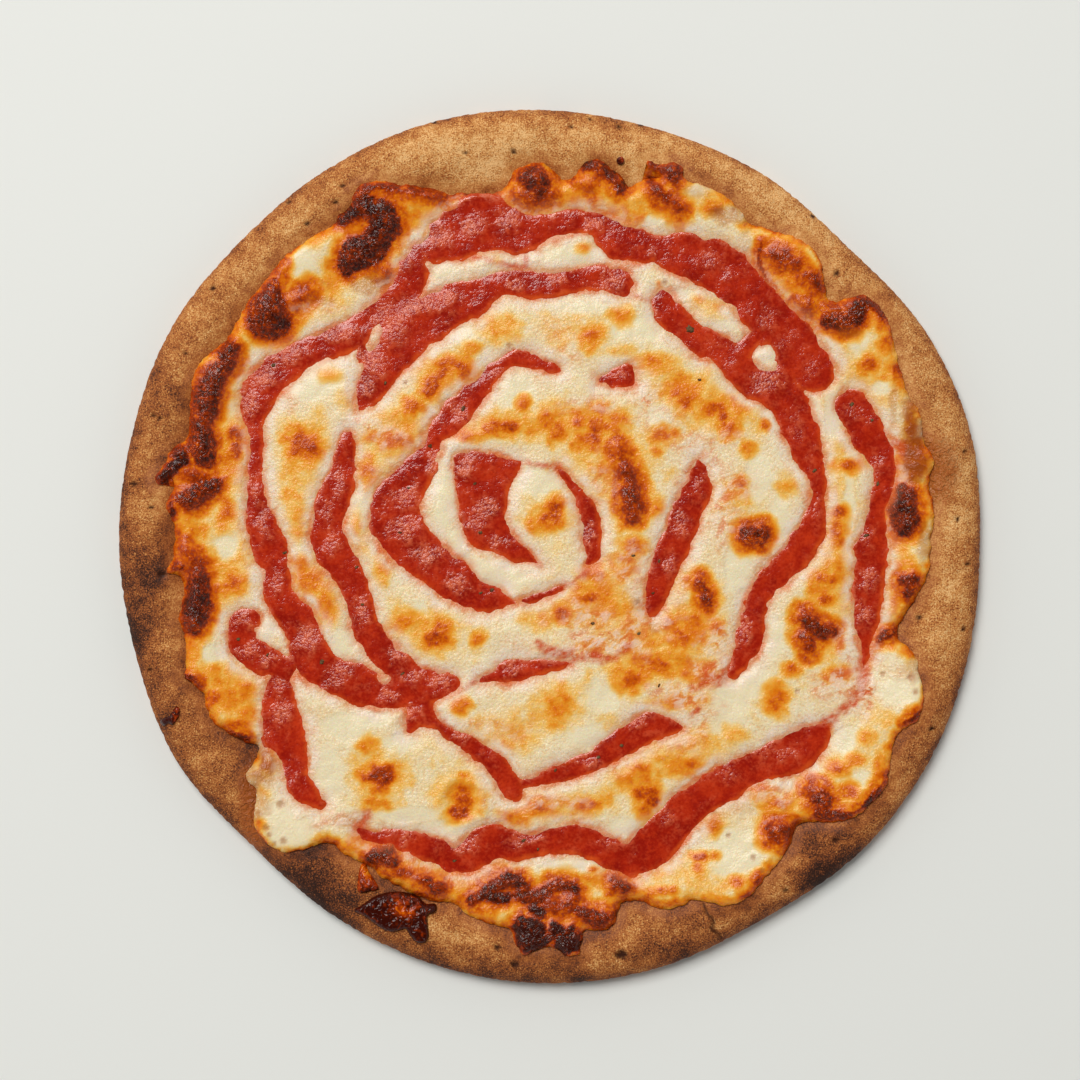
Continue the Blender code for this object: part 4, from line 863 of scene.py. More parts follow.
def cheese_top(x, y, edge, sauce, brown, rise, pocket):
    """Height of the cheese: soft pillows between the sauce, browned blisters, fine wrinkles."""
    share = np.clip(-edge / EDGE_ROUNDING, 0, 1)
    full = cheese_thickness(x, y)
    sloping = share * (2 - share)
    rounded = np.sqrt(sloping)
    thick = EDGE_THICK + (full - EDGE_THICK) * (sloping + (rounded - sloping) * pocket)
    pillow = 1.15 * (1 - np.exp(-(np.clip(sauce, 0, None) / 2.8) ** 1.4))
    dip = -0.7 * eased(-sauce, 0.0, 2.4)
    soft = 0.32 * ripple(x, y, 12.0, 31, 2) + 0.10 * ripple(x, y, 3.6, 32)
    lobes = 0.4 * pocket * (np.sqrt(np.abs(ripple(x, y, 9.0, 37)) + 0.01) - 0.5)
    curd = 0.13 * ripple(x, y, 2.6, 36) * (1 - eased(np.abs(sauce), 1.0, 4.0))
    crisp = eased(brown, 0.62, 0.82)
    wrinkle = crisp * (0.16 * ripple(x, y, 2.4, 33) + 0.36 * np.abs(ripple(x, y, 4.6, 34)))
    away = np.hypot(x - CRATER_X, y - CRATER_Y) * (1 + 0.15 * ripple(x, y, 6.0, 35))
    crater = 0.5 * np.exp(-((away - CRATER_RADIUS) / 1.4) ** 2)
    crater -= 0.8 * (1 - eased(away, 3.0, CRATER_RADIUS))
    hole = np.zeros_like(x)
    for spot_x, spot_y, radius in BUBBLES:
        out = np.hypot(x - spot_x, y - spot_y) / radius
        hole += 0.2 * np.exp(-((out - 1.3) / 0.5) ** 2) - 0.5 * (1 - eased(out, 0.3, 1.2))
    relief = pillow + dip + soft + curd * (1 - 0.5 * pocket) + lobes + hole
    relief += rise + wrinkle + crater
    relief *= full / CHEESE_THICK * eased(-edge, 0.0, 2.5)
    return under_ceiling(crust_top(x, y) + CHEESE_GAP + thick + relief)


def sauce_top(x, y, distance):
    """Height of the sauce, and how finely rippled its skin is, 0 to 1.

    It is a low dome whose foot dives under the cheese. Rippled places lean to the light.
    """
    dome = 0.16 * eased(-distance, -0.6, 3.2)
    foot = -0.55 * np.clip(distance / 1.4, 0, 1) ** 1.5
    pulp = 0.26 * ripple(x, y, 9.0, 41) + 0.07 * ripple(x, y, 3.2, 42)
    slump, rippled = np.zeros_like(x), np.zeros_like(x)
    wx, wy = x + 2.4 * ripple(x, y, 4.5, 43, 3), y + 2.4 * ripple(x, y, 4.5, 44, 3)
    for sx, sy, half_x, half_y, *strength in RIPPLED:
        near = (np.abs(x - sx) < half_x * 1.7 + 5) & (np.abs(y - sy) < half_y * 1.7 + 5)
        level = strength[0] if strength else 1.0
        inside = 1 - eased(oval(x[near], y[near], sx, sy, half_x, half_y), 0.1, 1.6)
        across = 0.53 * (x[near] - sx) - 0.85 * (y[near] - sy)
        slump[near] += 0.10 * level * inside * across
        torn = 1 - eased(oval(wx[near], wy[near], sx, sy, half_x, half_y), 0.2, 1.6)
        rippled[near] = np.maximum(rippled[near], level * torn)
    rippled = np.maximum(rippled, 0.24 * eased(ripple(x, y, 4.0, 45, 3), 0.0, 0.7))
    base = crust_top(x, y) + CHEESE_GAP + cheese_thickness(x, y)
    return base + dome + foot + pulp + slump, rippled


def under_ceiling(height):
    """Presses whatever nears the solid model's highest point gently below it."""
    over = np.clip(height - (CEILING - CEILING_ROOM), 0, None)
    return height - over + CEILING_ROOM * (1 - np.exp(-over / CEILING_ROOM)) * 0.97


# ================================================================ mesh building
CLEANING_ROUNDS, SLIDING_ROUNDS = 6, 3
PROBE = 0.05  # how far apart a slope is measured
CLOSEST = 0.2  # border points nearer than that share of a grid step are joined


def start_clean():
    """Leaves edit mode and deselects everything."""
    if bpy.context.object and bpy.context.object.mode != "OBJECT":
        bpy.ops.object.mode_set(mode="OBJECT")
    bpy.ops.object.select_all(action="DESELECT")


def read_points(mesh):
    """A mesh's points as rows of x, y and z, in millimetres."""
    flat = np.empty(len(mesh.vertices) * 3)
    mesh.vertices.foreach_get("co", flat)
    return flat.reshape(-1, 3) / MM


def write_points(mesh, points):
    """Moves a mesh's points to these rows of x, y and z, in millimetres."""
    mesh.vertices.foreach_set("co", np.ravel(points * MM))
    mesh.update()


@contextmanager
def edit_mode(kind, action=None):
    """Edit mode for points or edges, with a first select_all action where one is given."""
    bpy.ops.object.mode_set(mode="EDIT")
    bpy.ops.mesh.select_mode(type=kind)
    if action:
        bpy.ops.mesh.select_all(action=action)
    yield
    bpy.ops.object.mode_set(mode="OBJECT")


def select_points(mesh, chosen):
    """Selects these points and nothing else."""
    mesh.polygons.foreach_set("select", np.zeros(len(mesh.polygons), bool))
    mesh.edges.foreach_set("select", np.zeros(len(mesh.edges), bool))
    mesh.vertices.foreach_set("select", chosen)


def border_points(mesh):
    """How many border edges meet at each point."""
    edge_of_corner = np.empty(len(mesh.loops), int)
    mesh.loops.foreach_get("edge_index", edge_of_corner)
    ends = np.empty(len(mesh.edges) * 2, int)
    mesh.edges.foreach_get("vertices", ends)
    used = np.bincount(edge_of_corner, minlength=len(mesh.edges))
    rim = ends.reshape(-1, 2)[used == 1]
    return np.bincount(rim.ravel(), minlength=len(mesh.vertices))


def delete_points(mesh, chosen):
    """Deletes these points, and the edges that are left without a face."""
    select_points(mesh, chosen)
    with edit_mode("VERT"):
        bpy.ops.mesh.delete(type="VERT")
        bpy.ops.mesh.select_all(action="SELECT")
        bpy.ops.mesh.delete_loose(use_faces=False)


def largest_patch(mesh):
    """True for each point of the largest connected patch."""
    ends = np.empty(len(mesh.edges) * 2, int)
    mesh.edges.foreach_get("vertices", ends)
    beside = [[] for _ in range(len(mesh.vertices))]
    for a, b in ends.reshape(-1, 2).tolist():
        beside[a].append(b)
        beside[b].append(a)
    label = [-1] * len(beside)
    sizes = []
    for first in range(len(beside)):
        if label[first] >= 0:
            continue
        label[first] = len(sizes)
        queue, count = [first], 1
        while queue:
            for other in beside[queue.pop()]:
                if label[other] < 0:
                    label[other] = len(sizes)
                    queue.append(other)
                    count += 1
        sizes.append(count)
    return np.array(label) == int(np.argmax(sizes))


def cut_sheet(name, low, high, step, distance):
    """A flat grid over the area where distance is negative, its border on the outline.

    Points where two corners of the border meet, and patches that hang loose, are cut away.
    The border then slides onto the outline, and points that come together there are joined.
    """
    start_clean()
    size = np.array(high, float) - np.array(low, float)
    cells = np.ceil(size / step).astype(int)
    bpy.ops.mesh.primitive_grid_add(
        x_subdivisions=int(cells[0]), y_subdivisions=int(cells[1]), size=1.0
    )
    obj = bpy.context.object
    obj.name = obj.data.name = name
    mesh = obj.data
    middle = [(low[0] + high[0]) / 2, (low[1] + high[1]) / 2, 0]
    points = read_points(mesh) * MM * [size[0], size[1], 0] + middle
    write_points(mesh, points)
    outside = distance(points[:, 0], points[:, 1]) > 0
    delete_points(mesh, outside)
    for _ in range(CLEANING_ROUNDS):
        meeting = border_points(mesh)
        loose = (meeting > 2) | ~largest_patch(mesh)
        if not loose.any():
            break
        delete_points(mesh, loose)
    points = read_points(mesh)
    rim = border_points(mesh) > 0
    for _ in range(SLIDING_ROUNDS):
        x, y = points[rim, 0], points[rim, 1]
        here = distance(x, y)
        slope_x = (distance(x + PROBE, y) - here) / PROBE
        slope_y = (distance(x, y + PROBE) - here) / PROBE
        steep = np.maximum(slope_x**2 + slope_y**2, 0.25)
        move = np.clip(here / steep, -step, step)
        points[rim, 0] -= move * slope_x
        points[rim, 1] -= move * slope_y
    write_points(mesh, points)
    with edit_mode("VERT", "SELECT"):
        bpy.ops.mesh.remove_doubles(threshold=CLOSEST * step * MM)
    return obj


def top_height(x, y):
    """How high the finished food reaches at that place."""
    depsgraph = bpy.context.evaluated_depsgraph_get()
    start = Vector((x * MM, y * MM, 0.1))
    hit, place, *_ = bpy.context.scene.ray_cast(depsgraph, start, Vector((0, 0, -1)))
    return place.z / MM if hit else 0.0


def select_border():
    """Selects the open border and nothing else, in edit mode."""
    bpy.ops.mesh.select_all(action="DESELECT")
    bpy.ops.mesh.select_non_manifold(
        extend=False, use_wire=False, use_boundary=True, use_multi_face=False,
        use_non_contiguous=False, use_verts=False,
    )


def extend_border(obj, place):
    """Extrudes the open border once and moves its new points to place(x, y)."""
    before = len(obj.data.vertices)
    with edit_mode("EDGE"):
        select_border()
        bpy.ops.mesh.extrude_edges_move()
    points = read_points(obj.data)
    x, y = points[before:, 0], points[before:, 1]
    points[before:] = np.stack(place(x, y), 1)
    write_points(obj.data, points)


def turn_outwards():
    """Turns every face outwards, in edit mode."""
    bpy.ops.mesh.select_all(action="SELECT")
    bpy.ops.mesh.normals_make_consistent(inside=False)


def close_border():
    """Fills the open border of the piece at hand and turns every face outwards."""
    with edit_mode("EDGE"):
        select_border()
        bpy.ops.mesh.fill(use_beauty=False)
        turn_outwards()


def add_values(mesh, **values):
    """Stores one number per point under each name, for the materials to read."""
    for name, numbers in values.items():
        store = mesh.attributes.new(name, "FLOAT", "POINT")
        full = np.zeros(len(mesh.vertices), np.float32)
        full[: len(numbers)] = numbers
        store.data.foreach_set("value", full)


def finish_piece(obj, material, slot, *nodes):
    """Smooth shading, material, and its place in the frame."""
    start_clean()
    obj.data.shade_smooth()
    obj.data.materials.clear()
    obj.data.materials.append(material)
    if nodes:
        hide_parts(*nodes)
    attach(obj, "root")


# ================================================================ materials
# A Mix node's sockets where it mixes colours
MIX_FACTOR, MIX_FIRST, MIX_SECOND, MIXED = 0, 6, 7, 2


def srgb(red, green, blue):
    """A colour as it is seen, 0 to 255, in the linear values that shaders use."""
    return (*(((c / 255 + 0.055) / 1.055) ** 2.4 for c in (red, green, blue)), 1.0)


def fill(tree, node, inputs):
    """Links each input that is given another node's output, and sets each other one."""
    for key, value in inputs.items():
        if isinstance(value, bpy.types.NodeSocket):
            tree.links.new(value, node.inputs[key])
        else:
            node.inputs[key].default_value = value


def put(tree, kind, inputs=None, **settings):
    """Adds a node, sets it, and fills its inputs."""
    node = tree.nodes.new(kind)
    for key, value in settings.items():
        setattr(node, key, value)
    fill(tree, node, inputs or {})
    return node


def calc(tree, operation, first, second=0.0, clamp=False):
    """One step of arithmetic with two values."""
    inputs = {0: first, 1: second}
    return put(tree, "ShaderNodeMath", inputs, operation=operation, use_clamp=clamp).outputs[0]


def times(tree, *values):
    """All of these multiplied."""
    found = values[0]
    for value in values[1:]:
        found = calc(tree, "MULTIPLY", found, value)
    return found


def centred(tree, value, strength):
    """A pattern's ups and downs around nothing, that many times as strong."""
    return calc(tree, "MULTIPLY", calc(tree, "SUBTRACT", value, 0.5), strength)


def fade(tree, value, low, high, to_low=0.0, to_high=1.0):
    """value from low..high onto to_low..to_high, smooth and clamped."""
    inputs = {"Value": value, "From Min": low, "From Max": high}
    inputs |= {"To Min": to_low, "To Max": to_high}
    return put(tree, "ShaderNodeMapRange", inputs, interpolation_type="SMOOTHSTEP").outputs[0]


def blend(tree, factor, first, second):
    """first mixed towards second, as colours."""
    inputs = {MIX_FACTOR: factor, MIX_FIRST: first, MIX_SECOND: second}
    return put(tree, "ShaderNodeMix", inputs, data_type="RGBA").outputs[MIXED]


def ramp(tree, value, stops):
    """A colour for each value, from (place, colour) stops."""
    node = put(tree, "ShaderNodeValToRGB", {"Fac": value})
    band = node.color_ramp
    while len(band.elements) < len(stops):
        band.elements.new(0.5)
    for element, (place, colour) in zip(band.elements, stops):
        element.position = place
        element.color = srgb(*colour)
    return node.outputs["Color"]


def stored(tree, name):
    """A value that is stored on the piece's points."""
    return put(tree, "ShaderNodeAttribute", attribute_name=name).outputs["Fac"]


def make_group(name, inputs, output):
    """An empty shader group with float inputs (name: default) and one output."""
    tree = bpy.data.node_groups.new(name, "ShaderNodeTree")
    for label, default in inputs.items():
        socket = tree.interface.new_socket(label, in_out="INPUT", socket_type="NodeSocketFloat")
        socket.default_value = default
    tree.interface.new_socket(output, in_out="OUTPUT", socket_type="NodeSocketFloat")
    return tree, tree.nodes.new("NodeGroupInput").outputs, tree.nodes.new("NodeGroupOutput")


def texture(tree, kind, size, place=None, **inputs):
    """A texture on the piece itself, with features of that size in millimetres."""
    if place is None:
        place = put(tree, "ShaderNodeTexCoord").outputs["Object"]
    scale = calc(tree, "DIVIDE", 1 / MM, size)
    return put(tree, kind, {"Vector": place, "Scale": scale, **inputs}).outputs


def make_grain():
    """Soft grain of one size: Value lies around 0.5."""
    tree, given, result = make_group("grain", {"Size": 1.0, "Detail": 2.0}, "Value")
    pattern = texture(
        tree, "ShaderNodeTexNoise", given["Size"], Detail=given["Detail"], Roughness=0.6
    )["Fac"]
    fill(tree, result, {"Value": pattern})
    return tree


def make_crinkle():
    """Crumpled skin: Height has sharp creases between folds of that size."""
    tree, given, result = make_group("crinkled skin", {"Size": 1.5}, "Height")
    folds = texture(
        tree, "ShaderNodeTexNoise", given["Size"], Detail=1.2, Roughness=0.5, Distortion=0.8
    )["Fac"]
    lifted = calc(tree, "ABSOLUTE", calc(tree, "SUBTRACT", folds, 0.5))
    fill(tree, result, {"Height": calc(tree, "MULTIPLY", lifted, 4.0, clamp=True)})
    return tree


def make_marbling():
    """Streaky curds: Value runs in folded veins of that size."""
    tree, given, result = make_group("marbling", {"Size": 4.0}, "Value")
    place = put(tree, "ShaderNodeTexCoord").outputs["Object"]
    drawn_out = put(
        tree, "ShaderNodeMapping",
        {"Vector": place, "Rotation": (0.0, 0.0, 0.6), "Scale": (1.4, 1.0, 1.0)},
        vector_type="TEXTURE",
    ).outputs["Vector"]
    veins = texture(
        tree, "ShaderNodeTexNoise", given["Size"], drawn_out,
        Detail=3.0, Roughness=0.6, Distortion=0.35,
    )["Fac"]
    fill(tree, result, {"Value": veins})
    return tree


def make_specks():
    """Scattered round grains: Mask is 1 on a grain, and that share of the places has one."""
    tree, given, result = make_group("scattered grains", {"Size": 1.5, "Share": 0.5}, "Mask")
    cells = texture(tree, "ShaderNodeTexVoronoi", given["Size"])
    close = fade(tree, cells["Distance"], 0.46, 0.20)
    draw = put(tree, "ShaderNodeSeparateColor", {"Color": cells["Color"]}).outputs["Red"]
    mask = calc(tree, "MULTIPLY", close, calc(tree, "LESS_THAN", draw, given["Share"]))
    fill(tree, result, {"Mask": mask})
    return tree


GRAIN = make_grain()
SPECKS = make_specks()
CRINKLE = make_crinkle()
MARBLING = make_marbling()


def use(tree, group, **inputs):
    """Places one of these groups and returns its output."""
    return put(tree, "ShaderNodeGroup", inputs, node_tree=group).outputs[0]


def new_material(name):
    """A material, its tree and its Principled shader."""
    material = bpy.data.materials.new(name)
    material.use_nodes = True
    return material, material.node_tree, material.node_tree.nodes["Principled BSDF"]


def bump(tree, height, distance_mm):
    """A normal that shades that height, where 1 stands for that many millimetres."""
    inputs = {"Height": height, "Distance": distance_mm * MM, "Strength": 1.0}
    return put(tree, "ShaderNodeBump", inputs).outputs["Normal"]


# The colours that each food goes through, from pale to dark: (place, colour)
CHEESE_TONES = (
    (0.0, (236, 222, 182)), (0.12, (239, 212, 154)), (0.24, (241, 189, 94)),
    (0.36, (237, 158, 44)), (0.48, (228, 126, 16)), (0.58, (206, 91, 2)),
    (0.68, (173, 60, 0)), (0.78, (140, 43, 0)), (0.88, (104, 30, 1)), (1.0, (58, 12, 2)),
)
CRUST_TONES = (
    (0.0, (238, 188, 126)), (0.22, (212, 150, 84)), (0.45, (178, 106, 50)),
    (0.65, (140, 75, 34)), (0.82, (94, 50, 28)), (1.0, (50, 26, 16)),
)
SAUCE_TONES = ((0.3, (144, 17, 4)), (0.5, (170, 32, 9)), (0.7, (197, 53, 18)))
CREAM, BUTTER, OATMEAL = srgb(240, 223, 185), srgb(236, 208, 162), srgb(226, 204, 168)
WHITE_CURD, MILK_AND_HIGHLIGHT_WHITE = srgb(239, 227, 192), srgb(240, 221, 200)
THIN_PINK, PEACH = srgb(206, 150, 122), srgb(230, 162, 114)
TAN, TOASTED_TAN = srgb(200, 146, 96), srgb(156, 72, 16)
ORANGE_VEIN, WHITE_VEIN = srgb(216, 94, 32), srgb(243, 224, 206)
PALE_FLECK_AND_GLINT, WARM_FLECK = srgb(249, 234, 208), srgb(226, 166, 98)
FRINGE_ORANGE, SMEAR_RED = srgb(222, 104, 40), srgb(204, 78, 34)
BUBBLE_BROWN = srgb(172, 104, 54)
PULP_RED, BRIGHT_GRAIN, DEEP_GRAIN = srgb(204, 58, 22), srgb(204, 68, 32), srgb(132, 16, 8)
OILY_ORANGE, LIT_BORDER_SHEEN_PINK, PAINTED_SHEEN_PINK = srgb(222, 88, 30), srgb(216, 130, 104), srgb(226, 116, 76)
OILY_CRUST, PIT_BROWN = srgb(166, 84, 26), srgb(62, 28, 10)
HERB_BROWN, HERB_OLIVE = srgb(92, 54, 28), srgb(108, 86, 54)
FLOOR_GREY = (0.81, 0.822, 0.79, 1.0)


def make_cheese_material():
    """Baked cheese: cream, orange, toasted and burnt, stained and frayed along the sauce."""
    material, tree, shader = new_material("melted_cheese")
    broad = use(tree, GRAIN, Size=9.0, Detail=3.0)
    middle = use(tree, GRAIN, Size=3.4, Detail=2.0)
    fine = use(tree, GRAIN, Size=1.0, Detail=1.5)
    curd = use(tree, MARBLING, Size=3.2)
    skin = use(tree, CRINKLE, Size=1.8)
    brown, pocket = stored(tree, "brown"), stored(tree, "pocket")
    stain = times(tree, stored(tree, "stain"), fade(tree, brown, 0.5, 0.7, 1.0, 0.0))
    calm = fade(tree, pocket, 0.0, 1.0, 1.0, 0.3)
    burnt = fade(tree, brown, 0.62, 0.80)

    # How far it is baked, with patterns that differ from cream to burnt, and with painted shade in
    # the creases of the burnt skin
    soft = times(tree, centred(tree, middle, 0.50), fade(tree, brown, 0.04, 0.36, 0.4, 1.0), calm)
    gritty = times(tree, centred(tree, fine, 0.36), fade(tree, brown, 0.40, 0.64, 0.25, 1.0))
    level = calc(tree, "ADD", brown, calc(tree, "ADD", soft, gritty))
    # Painted shade: darker in the creases of the crinkled skin, paler on its folds
    painted_crease_shade = times(tree, calc(tree, "SUBTRACT", skin, 0.36), 0.22, burnt)
    level = calc(tree, "SUBTRACT", level, painted_crease_shade)
    level = calc(tree, "ADD", level, times(tree, centred(tree, broad, 0.3), burnt), clamp=True)
    toasted = ramp(tree, level, CHEESE_TONES)

    # Milky where it is pale, thin beside the sauce, tan where it is sheer
    milky = blend(tree, fade(tree, broad, 0.40, 0.62), CREAM, BUTTER)
    milky = blend(tree, fade(tree, middle, 0.48, 0.70, 0.0, 0.35), milky, OATMEAL)
    milky = blend(tree, times(tree, pocket, 0.8), milky, WHITE_CURD)
    colour = blend(tree, fade(tree, level, 0.03, 0.16, 0.7, 0.0), toasted, milky)
    thin = times(tree, stored(tree, "thin"), fade(tree, middle, 0.3, 0.6, 0.5, 1.0))
    thin = times(tree, thin, fade(tree, brown, 0.22, 0.45, 0.75, 0.2))
    colour = blend(tree, thin, colour, THIN_PINK)
    tan = blend(tree, fade(tree, brown, 0.10, 0.50), TAN, TOASTED_TAN)
    sheer = times(tree, stored(tree, "sheer"), fade(tree, middle, 0.3, 0.6, 0.65, 1.0))
    colour = blend(tree, sheer, colour, tan)

    # Marbled stains, a milky line beside the sauce that is partly a painted highlight on the crests
    # of the pillows, and curdled flecks, the pale ones partly painted glints
    colour = blend(tree, times(tree, stain, 0.5), colour, PEACH)
    orange_veins = fade(tree, curd, 0.50, 0.39)
    colour = blend(tree, times(tree, stain, orange_veins, 0.95), colour, ORANGE_VEIN)
    white_veins = fade(tree, curd, 0.47, 0.60)
    colour = blend(tree, times(tree, stain, white_veins, 0.85), colour, WHITE_VEIN)
    # Milky line beside the sauce: partly pale cheese, partly a painted highlight on the crests of
    # the pillows
    milk = times(tree, stored(tree, "milk"), fade(tree, middle, 0.34, 0.60, 0.45, 0.9))
    milk = times(tree, milk, fade(tree, brown, 0.2, 0.5, 1.0, 0.0))
    colour = blend(tree, milk, colour, MILK_AND_HIGHLIGHT_WHITE)
    curdled = times(tree, calm, fade(tree, brown, 0.12, 0.36, 1.0, 0.06))
    # Pale flecks: partly curd, partly painted glints
    pale_flecks_and_glints = times(tree, fade(tree, fine, 0.53, 0.70, 0.0, 0.45), curdled)
    colour = blend(tree, pale_flecks_and_glints, colour, PALE_FLECK_AND_GLINT)
    warm_flecks = times(tree, fade(tree, fine, 0.47, 0.32, 0.0, 0.4), curdled)
    colour = blend(tree, warm_flecks, colour, WARM_FLECK)

    # The oily fringe, smears of sauce, and the bottoms of the bubbles
    fringe = times(tree, stored(tree, "fringe"), fade(tree, fine, 0.3, 0.6, 0.6, 1.0))
    colour = blend(tree, fringe, colour, FRINGE_ORANGE)
    smear = times(tree, stored(tree, "smear"), fade(tree, curd, 0.34, 0.66, 0.95, 0.45))
    colour = blend(tree, smear, colour, SMEAR_RED)
    colour = blend(tree, times(tree, stored(tree, "hole"), 0.6), colour, BUBBLE_BROWN)

    height = calc(tree, "ADD", times(tree, middle, 0.9), times(tree, curd, stain, 0.8))
    pitted = fade(tree, brown, 0.15, 0.5, 1.3, 0.8)
    height = calc(tree, "ADD", height, times(tree, fine, pitted))
    height = times(tree, height, fade(tree, pocket, 0.0, 1.0, 1.0, 0.5))
    height = times(tree, height, fade(tree, burnt, 0.0, 1.0, 1.0, 0.55))
    height = calc(tree, "ADD", height, times(tree, skin, burnt, 0.8))
    fill(tree, shader, {
        "Base Color": colour,
        "Roughness": fade(tree, burnt, 0.0, 1.0, 0.25, 0.14),
        "Normal": bump(tree, height, 0.30),
        "Specular IOR Level": 0.22,
        "Subsurface Weight": 0.2,
        "Subsurface Radius": (1.0, 0.6, 0.25),
        "Subsurface Scale": 0.0015,
    })
    return material


def make_burnt_material():
    """Burnt cheese: glossy mahogany with crumpled skin, with painted shade in its creases."""
    material, tree, shader = new_material("burnt_cheese")
    middle = use(tree, GRAIN, Size=2.4, Detail=3.0)
    skin = use(tree, CRINKLE, Size=2.6)
    level = calc(tree, "ADD", stored(tree, "brown"), centred(tree, middle, 0.6))
    # Painted shade: darker in the creases of the crinkled skin, paler on its folds
    painted_crease_shade = times(tree, calc(tree, "SUBTRACT", skin, 0.36), 0.30)
    level = calc(tree, "SUBTRACT", level, painted_crease_shade, clamp=True)
    height = calc(tree, "ADD", times(tree, skin, 0.8), times(tree, middle, 0.8))
    fill(tree, shader, {
        "Base Color": ramp(tree, level, CHEESE_TONES),
        "Roughness": 0.14,
        "Specular IOR Level": 0.2,
        "Normal": bump(tree, height, 0.30),
    })
    return material


def make_sauce_material():
    """Wet tomato pulp: oily along its borders, with a painted pink sheen on the borders that face
    the window and on the rippled places, which are also frosted with light by real ripples.
    """
    material, tree, shader = new_material("tomato_sauce")
    broad = use(tree, GRAIN, Size=10.0, Detail=3.0)
    middle = use(tree, GRAIN, Size=3.0, Detail=2.0)
    fine = use(tree, GRAIN, Size=1.0, Detail=1.5)
    colour = ramp(tree, broad, SAUCE_TONES)
    colour = blend(tree, fade(tree, middle, 0.52, 0.7, 0.0, 0.45), colour, PULP_RED)
    colour = blend(tree, fade(tree, fine, 0.48, 0.70, 0.0, 0.24), colour, BRIGHT_GRAIN)
    colour = blend(tree, fade(tree, fine, 0.50, 0.30, 0.0, 0.3), colour, DEEP_GRAIN)
    warm = times(tree, stored(tree, "warm"), fade(tree, middle, 0.3, 0.6, 0.5, 0.9))
    colour = blend(tree, warm, colour, OILY_ORANGE)
    frayed = calc(tree, "ADD", times(tree, middle, 0.45), times(tree, fine, 0.55))
    # Painted sheen: pink along the borders that face the window
    film = times(tree, stored(tree, "film"), fade(tree, frayed, 0.44, 0.56))
    colour = blend(tree, times(tree, film, 0.5), colour, LIT_BORDER_SHEEN_PINK)
    rippled = stored(tree, "rippled")
    # Painted sheen: the rippled places are painted pink, on top of the real ripples that the bump
    # gives them
    sheen = times(tree, rippled, fade(tree, frayed, 0.38, 0.62))
    colour = blend(tree, times(tree, sheen, 0.65), colour, PAINTED_SHEEN_PINK)
    frosted = times(tree, fine, fade(tree, rippled, 0.0, 1.0, 0.4, 1.5))
    height = calc(tree, "ADD", times(tree, middle, 0.4), frosted)
    fill(tree, shader, {
        "Base Color": colour,
        "Roughness": fade(tree, rippled, 0.0, 0.8, 0.16, 0.25),
        "Specular IOR Level": 0.4,
        "Normal": bump(tree, height, 0.30),
    })
    return material


def make_crust_material():
    """Baked bread: floury and speckled where it is dry, greasy beside the cheese."""
    material, tree, shader = new_material("baked_crust")
    broad = use(tree, GRAIN, Size=12.0, Detail=3.0)
    middle = use(tree, GRAIN, Size=3.6, Detail=3.0)
    dust = use(tree, GRAIN, Size=0.5, Detail=1.5)
    pale_grains = use(tree, SPECKS, Size=0.8, Share=0.5)
    dark_grains = use(tree, SPECKS, Size=0.9, Share=0.4)
    toast, grease, oil = (stored(tree, name) for name in ("toast", "grease", "oil"))
    dry = fade(tree, grease, 0.1, 0.9, 1.0, 0.55)
    uneven = calc(tree, "ADD", centred(tree, broad, 0.70), centred(tree, middle, 0.60))
    grains = calc(tree, "SUBTRACT", times(tree, dark_grains, 0.18), times(tree, pale_grains, 0.22))
    grains = calc(tree, "ADD", grains, centred(tree, dust, 1.3))
    uneven = calc(tree, "ADD", uneven, times(tree, grains, dry))
    level = calc(tree, "ADD", toast, uneven, clamp=True)
    colour = ramp(tree, level, CRUST_TONES)
    colour = blend(tree, times(tree, oil, 0.7), colour, OILY_CRUST)
    colour = blend(tree, stored(tree, "pit"), colour, PIT_BROWN)
    rough = fade(tree, grease, 0.1, 1.0, 0.75, 0.48)
    height = calc(tree, "ADD", middle, times(tree, dust, 0.8))
    height = calc(tree, "ADD", height, times(tree, pale_grains, 0.35))
    height = times(tree, height, dry)
    oily_skin = times(tree, use(tree, CRINKLE, Size=2.4), oil, 1.2)
    height = calc(tree, "ADD", height, oily_skin)
    fill(tree, shader, {
        "Base Color": colour,
        "Roughness": calc(tree, "SUBTRACT", rough, times(tree, oil, 0.2)),
        "Specular IOR Level": 0.2,
        "Normal": bump(tree, height, 0.40),
    })
    return material


def make_herb_material():
    """Dried leaf and pepper, brown to olive."""
    material, tree, shader = new_material("dried_herb")
    mask = fade(tree, use(tree, GRAIN, Size=0.8, Detail=1.0), 0.4, 0.6)
    fill(tree, shader, {
        "Base Color": blend(tree, mask, HERB_BROWN, HERB_OLIVE),
        "Roughness": 0.6,
        "Specular IOR Level": 0.15,
    })
    return material


def make_floor_material():
    """The plain pale surface that the food lies on."""
    material, tree, shader = new_material("pale_surface")
    fill(tree, shader, {"Base Color": FLOOR_GREY, "Roughness": 0.85, "Specular IOR Level": 0.2})
    return material


